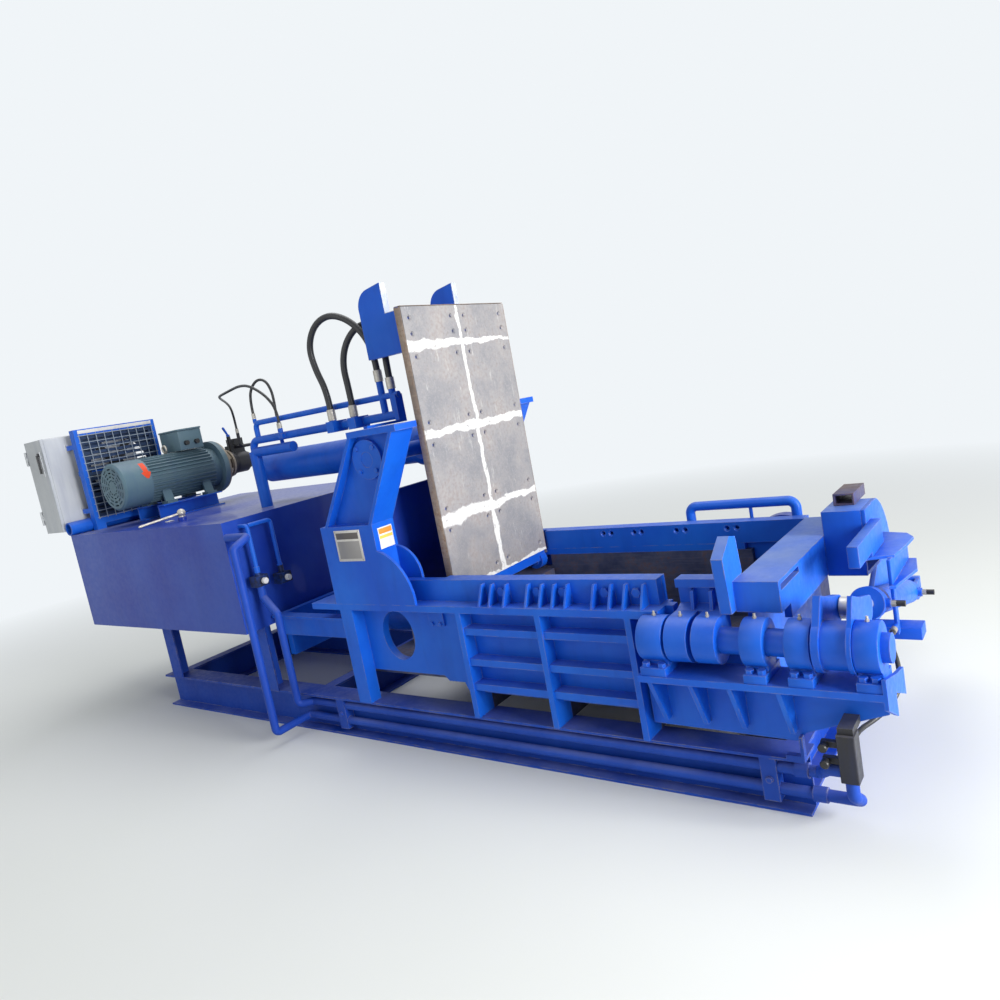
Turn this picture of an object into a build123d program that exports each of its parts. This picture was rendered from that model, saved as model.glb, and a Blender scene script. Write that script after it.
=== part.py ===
from build123d import *
import os
from math import cos, pi, radians, sin, sqrt, tan

# A scrap baling press with its power pack, in millimetres and at its real size.
# X runs along the machine towards the bale outlet, Y to the rear, Z up.
# Sizes across the machine are measured from the press centre plane, which lies at mid_y.

os.makedirs("parts", exist_ok=True)

mid_y = -215
running_gap = 0.05
bolt_gap = 0.5
seat_gap = 0.3

# Skid of rolled I-section beams
skid_left = -1710
skid_right = 2207
skid_half = 525
beam_height = 200
beam_flange = 120
beam_wall = 11
beam_web = 8
cross_flange = 75
beam_line = skid_half - beam_flange / 2

# Press box: side walls, floor and top flanges
box_left = 100
wall_outer = 465
wall_thick = 40
inner_half = 395
rib_half = 535
flange_left = -100
flange_top = 703
flange_thick = 30
floor_top = 360
floor_thick = 40
wall_foot = 290
rail_top = 800
stiffener_x = (840, 1248, 1645)
stiffener_thick = 25
rib_heights = (340, 452, 589)
rib_thick = 30
leg_width = 80
box_right = 1770

# Pressing pocket at the outlet end
pocket_left = 1800
pocket_right = 2020
end_wall = 25
end_beam_left = 2040
end_beam_right = 2190
ram_top = 600
ram_gap = 0.5
ram_side_gap = 5
rest_face = 740
main_stroke = 1000
side_stroke = 400

# Lid
hinge_x = 670
hinge_z = 660
hinge_pin = 25
lid_half = 380
lid_top = 1990
lid_plate = 20
liner_thick = 16
lined_face = 720
arm_middle = 257.5
arm_thick = 35
arm_depth = 94
horn_foot = 1810
horn_tip = 2135
horn_back = 370

# Pillars and lid cylinder
pillar_left = 85
pillar_right = 437
pillar_box_top = 1080
pillar_half = 535
pillar_inner = 395
pillar_lean = 275
tower_left = 121
tower_top = 1475
tower_web = 490
cap_thick = 28
trunnion_x = 465
trunnion_z = 1370
trunnion_radius = 35
lid_eye_x = 565
lid_barrel_radius = 90
lid_barrel_rear = -890

# Turn-out flap, its shaft and bearings
shaft_across = -545
shaft_z = 613
shaft_radius = 45
bearing_radius = 80
flap_left = 1821
flap_right = 1979
bracket_top = 498
bracket_plate = 24
bracket_front = -625
bracket_web = -495
bracket_left = 1700
bracket_right = 2488.5
bearing_spans = ((1714, 1809), (2079, 2153), (2220, 2296), (2417, 2488))
knuckle_spans = ((1820, 1900), (1918, 1997))
lever_plates = ((2302, 2325), (2402, 2416))
shaft_end = 2513

# Flap cylinder
lever_pin = (-331, 660)
clevis_pin = (640, 405)
flap_barrel_radius = 50

# Power pack
tank_left = -2210
tank_right = -540
tank_half = 645
tank_foot = 560
tank_top = 1160
tank_wall = 6
motor_x = -1810
motor_z = 1415
fan_end = -505
motor_flange = 225
rail_height = 90

# Pipes and hoses
long_pipe_radius = 20
long_pipe_across = -498
upper_run = 152
lower_run = 72
manifold_across = -195
manifold_low = 1540
manifold_high = 1635
loop_diameter = 32
pilot_diameter = 15
end_diameter = 16
ferrule_length = 55
pilot_ferrule = 30
# Where the hoses leave their fittings, as x, distance across and height
loop_starts = ((0, -240, 1625), (160, -240, 1625))
loop_ends = ((330, -195, 1765), (400, -195, 1720))
pilot_start = (-1560, 290, 1640)
pilot_end = (-435, -228, 1612)
link_start = (-685, -195, 1690)
link_end = (-545, -150, 1610)
end_hose_start = (2370, -548, 300)
end_hose_tab = (2426, -60, 490)


def spot(x, across, z):
    """A point of the machine, given from the press centre plane."""
    return (x, mid_y + across, z)


def block(x, across, z, mode=Mode.ADD):
    """A square-edged block between two limits each way."""
    with Locations(spot(sum(x) / 2, sum(across) / 2, sum(z) / 2)):
        Box(x[1] - x[0], across[1] - across[0], z[1] - z[0], mode=mode)


def side_plate(outline, across, mode=Mode.ADD):
    """A plate drawn in side view as (x, z), with its thickness across the machine."""
    near, far = sorted(across)
    with BuildSketch(Plane.XZ.offset(-(mid_y + far))) as profile:
        with BuildLine():
            Polyline(*outline, close=True)
        make_face()
    extrude(profile.sketch, amount=far - near, mode=mode)


def end_plate(outline, x, mode=Mode.ADD):
    """A plate drawn in end view as (across, z), with its thickness along the machine."""
    with BuildSketch(Plane((x[0], mid_y, 0), x_dir=(0, 1, 0), z_dir=(1, 0, 0))) as profile:
        with BuildLine():
            Polyline(*outline, close=True)
        make_face()
    extrude(profile.sketch, amount=x[1] - x[0], mode=mode)


def flat_plate(outline, z, mode=Mode.ADD):
    """A plate drawn in plan as (x, across), with its thickness upwards."""
    with BuildSketch(Plane((0, mid_y, z[0]))) as profile:
        with BuildLine():
            Polyline(*outline, close=True)
        make_face()
    extrude(profile.sketch, amount=z[1] - z[0], mode=mode)


def round_x(x, across, z, radius, mode=Mode.ADD):
    """A round bar or bore along the machine."""
    with BuildSketch(Plane(spot(x[0], across, z), x_dir=(0, 1, 0), z_dir=(1, 0, 0))) as section:
        Circle(radius)
    extrude(section.sketch, amount=x[1] - x[0], mode=mode)


def round_y(x, across, z, radius, mode=Mode.ADD):
    """A round bar or bore across the machine."""
    near, far = sorted(across)
    with BuildSketch(Plane(spot(x, near, z), x_dir=(1, 0, 0), z_dir=(0, 1, 0))) as section:
        Circle(radius)
    extrude(section.sketch, amount=far - near, mode=mode)


def round_z(x, across, z, radius, mode=Mode.ADD):
    """An upright round bar or bore."""
    with BuildSketch(Plane(spot(x, across, z[0]))) as section:
        Circle(radius)
    extrude(section.sketch, amount=z[1] - z[0], mode=mode)


def turned(origin, axis_dir, profile, mode=Mode.ADD):
    """A turned piece: profile holds (distance along the axis, radius) points."""
    side_dir = Vector(0, 0, 1) if abs(Vector(*axis_dir).Z) < 0.9 else Vector(1, 0, 0)
    along = Vector(*axis_dir).normalized()
    outward = (side_dir - along * side_dir.dot(along)).normalized()
    with BuildSketch(Plane(origin, x_dir=outward, z_dir=outward.cross(along))) as half:
        with BuildLine():
            Polyline(*[(radius, distance) for distance, radius in profile], close=True)
        make_face()
    revolve(half.sketch, axis=Axis(origin, along), mode=mode)


def pipe(route, radius, bend, mode=Mode.ADD):
    """A bent pipe along straight runs joined by bends of one radius."""
    with BuildLine() as path:
        FilletPolyline(*route, radius=bend)
    with BuildSketch(Plane(origin=path.line @ 0, z_dir=path.line % 0)) as section:
        Circle(radius)
    sweep(section.sketch, path=path.line, mode=mode)


def hose(name, route, diameter):
    """A hose held at both ends, its bends as wide as their two runs allow."""
    points = [Vector(*point) for point in route]
    radii = []
    for before, corner, after in zip(points, points[1:], points[2:]):
        turn = radians((corner - before).get_angle(after - corner))
        shorter = min((corner - before).length, (after - corner).length)
        radii.append(0.45 * shorter / tan(turn / 2))
    with BuildLine() as path:
        FilletPolyline(*points, radius=radii)
    with BuildSketch(Plane(origin=path.line @ 0, z_dir=path.line % 0)) as section:
        Circle(diameter / 2)
    sweep(section.sketch, path=path.line)
    length = sum(edge.length for edge in path.edges())
    print(name, "length", round(length), "radii", [round(radius) for radius in radii])


def i_section(middle, foot, height, flange, flange_wall, web):
    """The outline of a rolled I-section, as (sideways, upwards) points."""
    top = foot + height
    half = [
        (flange / 2, foot),
        (flange / 2, foot + flange_wall),
        (web / 2, foot + flange_wall),
        (web / 2, top - flange_wall),
        (flange / 2, top - flange_wall),
        (flange / 2, top),
    ]
    other = [(-sideways, up) for sideways, up in reversed(half)]
    return [(middle + sideways, up) for sideways, up in half + other]


def channel(heel, foot, height, flange, flange_wall, web):
    """The outline of a rolled channel with its web at the heel, open towards +X."""
    top = foot + height
    return [
        (heel, foot),
        (heel + flange, foot),
        (heel + flange, foot + flange_wall),
        (heel + web, foot + flange_wall),
        (heel + web, top - flange_wall),
        (heel + flange, top - flange_wall),
        (heel + flange, top),
        (heel, top),
    ]


# Skid: two long beams, three channels between them, and the four posts under the tank
post_width = 100
post_wall = 8
post_middles = (-1540, tank_right - post_width / 2)
cross_members = (skid_left + 40, -310, skid_right - cross_flange - 20)

with BuildPart() as skid_frame:
    for side in (-1, 1):
        outline = i_section(side * beam_line, 0, beam_height, beam_flange, beam_wall, beam_web)
        end_plate(outline, (skid_left, skid_right))
        for middle in post_middles:
            post_outer = side * (skid_half + 10)
            post_inner = post_outer - side * post_width
            block((middle - post_width / 2, middle - post_width / 2 + post_wall),
                  sorted((post_outer, post_inner)), (beam_height, tank_foot))
            block((middle - post_width / 2, middle + post_width / 2),
                  sorted((post_outer, post_outer - side * post_wall)), (beam_height, tank_foot))
    for heel in cross_members:
        side_plate(channel(heel, 0, beam_height, cross_flange, beam_wall, beam_web),
                   (-beam_line, beam_line))
    block((skid_right - 60, skid_right), (-skid_half, bracket_web - 5), (beam_height, beam_height + 12))
    block((skid_right - 10, skid_right), (-skid_half, bracket_web - 5), (beam_height, beam_height + 80))
skid_frame.part.label = "skid_frame"
export_step(skid_frame.part, "parts/skid_frame.step")


# Oil tank of folded plate with a lipped top, a lever valve boss and a side clean-out cover
valve_x = -1220
valve_across = -445
valve_boss_radius = 26
valve_boss_top = tank_top + 24

with BuildPart() as oil_tank:
    block((tank_left, tank_right), (-tank_half, tank_half), (tank_foot, tank_top))
    block((tank_left + tank_wall, tank_right - tank_wall),
          (tank_wall - tank_half, tank_half - tank_wall),
          (tank_foot + tank_wall, tank_top - tank_wall), mode=Mode.SUBTRACT)
    round_z(valve_x, valve_across, (tank_top, valve_boss_top), valve_boss_radius)
oil_tank.part.label = "oil_tank"
export_step(oil_tank.part, "parts/oil_tank.step")


# Side frames: a thick wall with an oval window, a top flange, a leg, stiffeners and ribs.
# The front one carries the gusseted blade rail, the rear one a plain upper wall.
window_x = 390
window_z = 530
window_width = 200
window_height = 240
rail_left = pillar_right + 3
rail_right = 1750
blade_thick = 30
blade_foot = 720
extension_left = -520
extension_foot = 500
extension_top = 610
gusset_thick = 8
gusset_x = (960, 1012, 1086, 1196, 1262, 1321, 1380, 1499, 1572, 1631, 1704)
rail_bolt_x = (1050, 1229, 1350, 1536, 1668)
rail_bolt_z = 752
bolt_shank = 12
wall_outline = [
    (box_left, floor_top - 10),
    (630, floor_top - 10),
    (655, 326),
    (745, 326),
    (760, wall_foot),
    (box_right, wall_foot),
    (box_right, flange_top - flange_thick),
    (box_left, flange_top - flange_thick),
]
sill_top = 540
pin_hole = hinge_pin + running_gap


def side_frame(side):
    """What both side frames share, on the side given as -1 or 1."""
    def band(low, high):
        return sorted((side * low, side * high))
    side_plate(wall_outline, band(wall_outer - wall_thick, wall_outer))
    with BuildSketch(Plane.XZ.offset(-(mid_y + side * wall_outer + 1))) as window:
        with Locations((window_x, window_z)):
            Ellipse(window_width / 2, window_height / 2)
    extrude(window.sketch, amount=wall_thick + 2, both=True, mode=Mode.SUBTRACT)
    block((flange_left, box_right), band(inner_half, rib_half), (flange_top - flange_thick, flange_top))
    flat_plate(
        [(box_left, side * wall_outer), (box_left, side * rib_half),
         (box_left + leg_width, side * rib_half), (box_left + leg_width, side * wall_outer)],
        (beam_height, flange_top - flange_thick))
    for x in stiffener_x:
        block((x - stiffener_thick / 2, x + stiffener_thick / 2), band(wall_outer, rib_half),
              (beam_height, flange_top - flange_thick))
        block((x - stiffener_thick / 2, x + stiffener_thick / 2), band(wall_outer - wall_thick, wall_outer),
              (beam_height, wall_foot))
    for left, right in zip(stiffener_x, stiffener_x[1:]):
        for z in rib_heights:
            block((left, right), band(wall_outer, rib_half - 10), (z - rib_thick / 2, z + rib_thick / 2))
    block((extension_left, box_left), band(wall_outer - wall_thick, wall_outer),
          (extension_foot, extension_top))
    block((extension_left, box_left), band(wall_outer, rib_half - 50),
          (extension_top - 12, extension_top))
    round_y(hinge_x, band(inner_half - 1, wall_outer + 1), hinge_z, pin_hole, mode=Mode.SUBTRACT)


with BuildPart() as front_side_frame:
    side_frame(-1)
    block((rail_left, rail_right), (-wall_outer, blade_thick - wall_outer + 10), (flange_top, rail_top))
    for x in gusset_x:
        end_plate([(-rib_half + 5, flange_top), (-wall_outer, flange_top), (-wall_outer, rail_top - 14),
                   (-wall_outer - 22, rail_top - 14)], (x - gusset_thick / 2, x + gusset_thick / 2))
    for x in rail_bolt_x:
        round_y(x, (-wall_outer - 1, -inner_half), rail_bolt_z, bolt_shank + bolt_gap, mode=Mode.SUBTRACT)
    # Relief for the first shaft bearing, and the sill under the turn-out flap
    round_x((bearing_spans[0][0] - 2, box_right + 1), shaft_across, shaft_z, bearing_radius + 1,
            mode=Mode.SUBTRACT)
    side_plate([(box_right, wall_foot), (end_beam_left, wall_foot), (end_beam_left, sill_top),
                (pocket_left, sill_top), (pocket_left, flange_top), (box_right, flange_top)],
               (-wall_outer, wall_thick - wall_outer))
front_side_frame.part.label = "front_side_frame"
export_step(front_side_frame.part, "parts/front_side_frame.step")

lintel_foot = ram_top + 20
countersink_x = (1065, 1110, 1235, 1275, 1455, 1500, 1700, 1745)

with BuildPart() as rear_side_frame:
    side_frame(1)
    block((rail_left, end_beam_left), (wall_outer - wall_thick, wall_outer), (flange_top, rail_top))
    side_plate([(box_right, lintel_foot), (end_beam_left, lintel_foot), (end_beam_left, flange_top),
                (box_right, flange_top)], (wall_outer - wall_thick, wall_outer))
rear_side_frame.part.label = "rear_side_frame"
export_step(rear_side_frame.part, "parts/rear_side_frame.step")


# Chamber floor on its cross bearers
with BuildPart() as chamber_floor:
    block((box_left, end_beam_left), (wall_thick - wall_outer, wall_outer - wall_thick),
          (floor_top - floor_thick, floor_top))
    for x in stiffener_x:
        block((x - stiffener_thick / 2, x + stiffener_thick / 2),
              (wall_thick - wall_outer, wall_outer - wall_thick), (beam_height, floor_top - floor_thick))
chamber_floor.part.label = "chamber_floor"
export_step(chamber_floor.part, "parts/chamber_floor.step")


# Wear plates bolted inside both walls, and the two shear blades above them
liner_left = rest_face - 300
liner_wall = wall_outer - wall_thick - inner_half

with BuildPart() as side_liners:
    for side in (-1, 1):
        near, far = sorted((side * inner_half, side * (inner_half + liner_wall)))
        block((liner_left, pocket_left), (near, far), (floor_top, hinge_z - 50))
        block((hinge_x + 60, pocket_left), (near, far), (hinge_z - 50, flange_top - flange_thick))
side_liners.part.label = "side_liners"
export_step(side_liners.part, "parts/side_liners.step")

blade_left = lined_face
with BuildPart() as shear_blades:
    block((blade_left, rail_right), (-inner_half - blade_thick, -inner_half), (flange_top, rail_top))
    for x in rail_bolt_x:
        round_y(x, (-wall_outer - 1, -inner_half + 1), rail_bolt_z, bolt_shank + bolt_gap,
                mode=Mode.SUBTRACT)
    block((blade_left, end_beam_left), (inner_half, inner_half + blade_thick), (flange_top, rail_top))
    for x in countersink_x:
        with Locations(Location(spot(x, inner_half, rail_bolt_z + 20), (90, 0, 0))):
            CounterSinkHole(7, 14, depth=blade_thick)
shear_blades.part.label = "shear_blades"
export_step(shear_blades.part, "parts/shear_blades.step")


# Pillars: a box foot with rounded cheeks and a leaning flanged tower that holds a trunnion
cheek_radius = 250
cheek_centre_z = 720
inner_cheek_radius = 150
inner_cheek_z = 805
cheek_thick = 15
tower_flange = 20
web_thick = 25
bearing_seat = 60


def rounded_cheek(across, right, radius, centre_z):
    """The cheek of a pillar foot, its outer corner rounded down to the flange."""
    near, far = sorted(across)
    centre_x = right + 170 - radius if radius > 200 else right + 124 - radius
    drop = sqrt(radius ** 2 - (right - centre_x) ** 2)
    middle = radius * sqrt(0.5)
    with BuildSketch(Plane.XZ.offset(-(mid_y + far))) as profile:
        with BuildLine():
            Polyline((centre_x + radius, centre_z), (centre_x + radius, flange_top),
                     (pillar_left, flange_top), (pillar_left, pillar_box_top),
                     (right, pillar_box_top), (right, centre_z + drop))
            ThreePointArc((right, centre_z + drop),
                          (centre_x + max(middle, (right - centre_x + radius) / 2),
                           centre_z + sqrt(radius ** 2
                                           - max(middle, (right - centre_x + radius) / 2) ** 2)),
                          (centre_x + radius, centre_z))
        make_face()
    extrude(profile.sketch, amount=far - near)


def pillar(side):
    """One pillar, on the side given as -1 or 1."""
    def band(low, high):
        return sorted((side * low, side * high))
    rounded_cheek(band(pillar_half - cheek_thick, pillar_half), pillar_right, cheek_radius, cheek_centre_z)
    rounded_cheek(band(pillar_inner, pillar_inner + cheek_thick), pillar_right, inner_cheek_radius,
                  inner_cheek_z)
    foot_band = band(pillar_inner + cheek_thick, pillar_half - cheek_thick)
    side_plate([(pillar_left, flange_top), (pillar_left + cheek_thick, flange_top),
                (pillar_left + cheek_thick, pillar_box_top), (pillar_left, pillar_box_top)], foot_band)
    side_plate([(pillar_left, pillar_box_top - cheek_thick), (pillar_right, pillar_box_top - cheek_thick),
                (pillar_right, pillar_box_top), (pillar_left, pillar_box_top)], foot_band)
    side_plate([(pillar_right - tower_flange, flange_top), (pillar_right, flange_top),
                (pillar_right, pillar_box_top), (pillar_right - tower_flange, pillar_box_top)], foot_band)
    lean = pillar_lean
    head_right = pillar_right + 236
    side_plate([(tower_left, pillar_box_top), (tower_left + tower_flange, pillar_box_top),
                (tower_left + lean + tower_flange, tower_top), (tower_left + lean, tower_top)],
               band(pillar_inner, pillar_half))
    side_plate([(pillar_right - tower_flange, pillar_box_top), (pillar_right, pillar_box_top),
                (head_right, tower_top), (head_right - tower_flange, tower_top)],
               band(pillar_inner, pillar_half))
    side_plate([(tower_left + tower_flange, pillar_box_top), (pillar_right - tower_flange, pillar_box_top),
                (head_right - tower_flange, tower_top), (tower_left + lean + tower_flange, tower_top)],
               band(tower_web - web_thick, tower_web))
    side_plate([(tower_left + lean, tower_top), (head_right + 25, tower_top),
                (head_right + 25, tower_top + cap_thick), (tower_left + lean, tower_top + cap_thick)],
               band(pillar_inner, pillar_half))
    round_y(trunnion_x, band(pillar_inner, pillar_half), trunnion_z, bearing_seat + running_gap,
            mode=Mode.SUBTRACT)


with BuildPart() as front_pillar:
    pillar(-1)
front_pillar.part.label = "front_pillar"
export_step(front_pillar.part, "parts/front_pillar.step")

with BuildPart() as rear_pillar:
    pillar(1)
rear_pillar.part.label = "rear_pillar"
export_step(rear_pillar.part, "parts/rear_pillar.step")


# Trunnion bearings, spigoted into the pillar webs
housing_radius = 90
housing_face = tower_web + 18

with BuildPart() as trunnion_bearings:
    for side in (-1, 1):
        def band(low, high):
            return sorted((side * low, side * high))
        round_y(trunnion_x, band(tower_web, housing_face), trunnion_z, housing_radius)
        round_y(trunnion_x, band(tower_web - web_thick - 12, tower_web), trunnion_z, bearing_seat)
        for turn in range(4):
            angle = pi / 4 + turn * pi / 2
            round_y(trunnion_x + 73 * cos(angle), band(housing_face, housing_face + 9),
                    trunnion_z + 73 * sin(angle), 10)
        round_y(trunnion_x, band(tower_web - web_thick - 13, housing_face + 1), trunnion_z,
                trunnion_radius + running_gap, mode=Mode.SUBTRACT)
trunnion_bearings.part.label = "trunnion_bearings"
export_step(trunnion_bearings.part, "parts/trunnion_bearings.step")


# Lid hinge pins, each with the keeper plate that locks it to the wall
pin_inner = 320
keeper_width = 90
keeper_height = 82
keeper_thick = 12

with BuildPart() as lid_hinge_pins:
    for side in (-1, 1):
        def band(low, high):
            return sorted((side * low, side * high))
        round_y(hinge_x, band(pin_inner, wall_outer), hinge_z, hinge_pin)
        block((hinge_x - 14 - keeper_width / 2, hinge_x - 14 + keeper_width / 2),
              band(wall_outer, wall_outer + keeper_thick),
              (hinge_z - 28 - keeper_height / 2, hinge_z - 28 + keeper_height / 2))
        for x in (hinge_x - 38, hinge_x + 10):
            round_y(x, band(wall_outer + keeper_thick, wall_outer + keeper_thick + 8), hinge_z - 60, 9)
lid_hinge_pins.part.label = "lid_hinge_pins"
export_step(lid_hinge_pins.part, "parts/lid_hinge_pins.step")


# Bracket that carries the flap shaft: deck, web with a stepped lower edge, ribs and end plate
web_outline = [
    (bracket_left - 32, 259), (2189, 252), (2215, 284), (2322, 324), (2368, 337), (2472, 375),
    (bracket_right, bracket_top - bracket_plate), (bracket_left - 32, bracket_top - bracket_plate),
]
bracket_rib_x = (1735, 1885, 2020, 2180)

with BuildPart() as shaft_bracket:
    block((bracket_left, bracket_right), (bracket_front, -wall_outer),
          (bracket_top - bracket_plate, bracket_top))
    side_plate(web_outline, (bracket_web, -wall_outer))
    for x in bracket_rib_x:
        end_plate([(bracket_front + 12, bracket_top - bracket_plate), (bracket_web, bracket_top - bracket_plate),
                   (bracket_web, 290), (bracket_web - 30, 290)], (x - 8, x + 8))
    end_plate([(bracket_front, 450), (bracket_front, 545), (-465, 500), (-365, 480), (-365, 390),
               (-505, 455), (-505, 380)], (bracket_right, bracket_right + 12))
    bearing_bolts = []
    for left, right in bearing_spans:
        for x in (left + 18, right - 18):
            for across in (bracket_front + 22, -wall_outer - 22):
                bearing_bolts.append((x, across))
    for x, across in bearing_bolts:
        round_z(x, across, (bracket_top - bracket_plate - 1, bracket_top + 1), bolt_shank + bolt_gap,
                mode=Mode.SUBTRACT)
shaft_bracket.part.label = "shaft_bracket"
export_step(shaft_bracket.part, "parts/shaft_bracket.step")


# The four fixed bearing blocks of the flap shaft
foot_thick = 30
with BuildPart() as shaft_bearings:
    for left, right in bearing_spans:
        round_x((left, right), shaft_across, shaft_z, bearing_radius)
        end_plate([(shaft_across - 66, bracket_top + 12), (shaft_across + 66, bracket_top + 12),
                   (shaft_across + bearing_radius, shaft_z), (shaft_across - bearing_radius, shaft_z)],
                  (left, right))
        block((left, right), (bracket_front + 3, -wall_outer - 3), (bracket_top, bracket_top + foot_thick))
        round_x((left - 1, right + 1), shaft_across, shaft_z, shaft_radius + running_gap,
                mode=Mode.SUBTRACT)
    for x, across in bearing_bolts:
        round_z(x, across, (bracket_top - 1, bracket_top + foot_thick + 60), bolt_shank + bolt_gap,
                mode=Mode.SUBTRACT)
        round_z(x, across, (bracket_top + foot_thick, bracket_top + foot_thick + 60), 17,
                mode=Mode.SUBTRACT)
shaft_bearings.part.label = "shaft_bearings"
export_step(shaft_bearings.part, "parts/shaft_bearings.step")


# Hexagon bolts of the blade rail and of the bearing blocks
rail_head = 19
foot_head = 15
head_height = 14
with BuildPart() as hex_bolts:
    for x in rail_bolt_x:
        with BuildSketch(Plane(spot(x, -wall_outer, rail_bolt_z), x_dir=(1, 0, 0), z_dir=(0, -1, 0))) as head:
            RegularPolygon(rail_head, 6)
        extrude(head.sketch, amount=head_height)
        round_y(x, (-wall_outer, -inner_half - 2), rail_bolt_z, bolt_shank)
    for x, across in bearing_bolts:
        with BuildSketch(Plane(spot(x, across, bracket_top + foot_thick))) as head:
            RegularPolygon(foot_head, 6)
        extrude(head.sketch, amount=head_height)
        round_z(x, across, (bracket_top - bracket_plate, bracket_top + foot_thick), bolt_shank)
hex_bolts.part.label = "hex_bolts"
export_step(hex_bolts.part, "parts/hex_bolts.step")


# End beam behind the pocket, with the upright guide fin on its front end
beam_front = -rib_half + 40
beam_rear = 415
slot_z = 775
with BuildPart() as end_beam:
    side_plate([(end_beam_left, beam_height), (end_beam_left + end_wall, beam_height),
                (end_beam_left + end_wall, rail_top - end_wall), (end_beam_right - end_wall, rail_top - end_wall),
                (end_beam_right - end_wall, 645), (end_beam_right, 645), (end_beam_right, rail_top),
                (end_beam_left, rail_top)], (-inner_half, beam_rear))
    side_plate([(end_beam_left, 560 + shaft_radius + bearing_radius + 10),
                (end_beam_right, 560 + shaft_radius + bearing_radius + 10),
                (end_beam_right, rail_top), (end_beam_left, rail_top)], (beam_front, -inner_half))
    block((end_beam_right - end_wall - 1, end_beam_right + 1), (-475, -265), (slot_z - 10, slot_z + 10),
          mode=Mode.SUBTRACT)
    end_plate([(-465, 949), (-412, 935), (-inner_half, 810), (-467, 700), (-537, 700), (-554, 892)],
              (pocket_right - 20, end_beam_left))
end_beam.part.label = "end_beam"
export_step(end_beam.part, "parts/end_beam.step")


# Rear end bracket: two cheeks that hold the flap cylinder, with stiffening wings outside
cheek_left = (2290, 2310)
cheek_right = (2416, 2436)
cheek_outline = [(180, 640), (180, 800), (215, 850), (290, 870), (365, 862), (430, 820),
                 (460, 760), (460, 480), (400, 440), (300, 440)]
wing_right = 2472
clevis_radius = 38
clevis_bore = 16
clevis_lugs = ((2328, 2344), (2383, 2399))
clevis_beam = (690, 715)
clevis_beam_z = (clevis_pin[1] - 45, clevis_pin[1] + 45)
arm_outline = [(300, 440), (clevis_beam[1], clevis_beam_z[0]), (clevis_beam[1], clevis_beam_z[1]), (460, 600)]
with BuildPart() as rear_end_bracket:
    end_plate(cheek_outline, cheek_left)
    end_plate(cheek_outline, cheek_right)
    block((end_beam_right, cheek_left[0]), (250, 440), (rail_top - 150, rail_top - 130))
    block((end_beam_right, cheek_left[0]), (395, 415), (645, rail_top))
    block((end_beam_right, cheek_left[0]), (250, 270), (480, rail_top - 20))
    block((cheek_left[1], cheek_right[0]), (440, 460), (545, 780))
    flat_plate([(cheek_right[1], -35), (wing_right - 8, -20), (wing_right, 250), (cheek_right[1], 295)],
               (735, 747))
    flat_plate([(cheek_right[1], 20), (wing_right - 6, 30), (wing_right, 220), (wing_right - 30, 260),
                (cheek_right[1], 260)], (635, 647))
    end_plate([(-35, 560), (180, 560), (180, 747), (-35, 747)], (cheek_right[0], cheek_right[1]))
    block(cheek_right, (-35, 0), (460, 565))
    round_y(end_hose_tab[0], (end_hose_tab[1], -34), end_hose_tab[2], 12)
    end_plate(arm_outline, cheek_left)
    block((cheek_left[0], clevis_lugs[1][1]), clevis_beam, clevis_beam_z)
    for left, right in clevis_lugs:
        round_x((left, right), clevis_pin[0], clevis_pin[1], clevis_radius)
        block((left, right), (clevis_pin[0], clevis_beam[0] + 1),
              (clevis_pin[1] - clevis_radius, clevis_pin[1] + clevis_radius))
    round_x((clevis_lugs[0][0] - 1, clevis_lugs[1][1] + 1), clevis_pin[0], clevis_pin[1],
            clevis_bore + running_gap, mode=Mode.SUBTRACT)
rear_end_bracket.part.label = "rear_end_bracket"
export_step(rear_end_bracket.part, "parts/rear_end_bracket.step")


# Side ram housing behind the rear wall, closed by an arched plate that holds the cylinder
side_axis_x = (pocket_left + pocket_right) / 2
side_axis_z = 490
housing_rear = 640
arch_radius = 155
arch_centre_z = 625
housing_wall = 20
side_barrel_radius = 80
with BuildPart() as side_ram_housing:
    block((pocket_left - housing_wall, pocket_left), (wall_outer, housing_rear), (floor_top, ram_top + 40))
    block((pocket_right, pocket_right + housing_wall), (wall_outer, housing_rear), (floor_top, ram_top + 40))
    block((pocket_left - housing_wall, pocket_right + housing_wall), (wall_outer, housing_rear),
          (floor_top - floor_thick, floor_top))
    block((pocket_left - housing_wall, pocket_right + housing_wall), (wall_outer, housing_rear),
          (ram_top + 20, ram_top + 40))
    block((pocket_left - housing_wall, pocket_right + housing_wall), (housing_rear - 60, housing_rear),
          (beam_height, arch_centre_z))
    round_y(side_axis_x - 20, (housing_rear - 60, housing_rear), arch_centre_z, arch_radius)
    block((pocket_left, pocket_right), (wall_outer - 1, housing_rear - 60), (floor_top, ram_top + 20),
          mode=Mode.SUBTRACT)
    round_y(side_axis_x, (housing_rear - 61, housing_rear + 1), side_axis_z,
            side_barrel_radius + running_gap, mode=Mode.SUBTRACT)
side_ram_housing.part.label = "side_ram_housing"
export_step(side_ram_housing.part, "parts/side_ram_housing.step")


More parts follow.
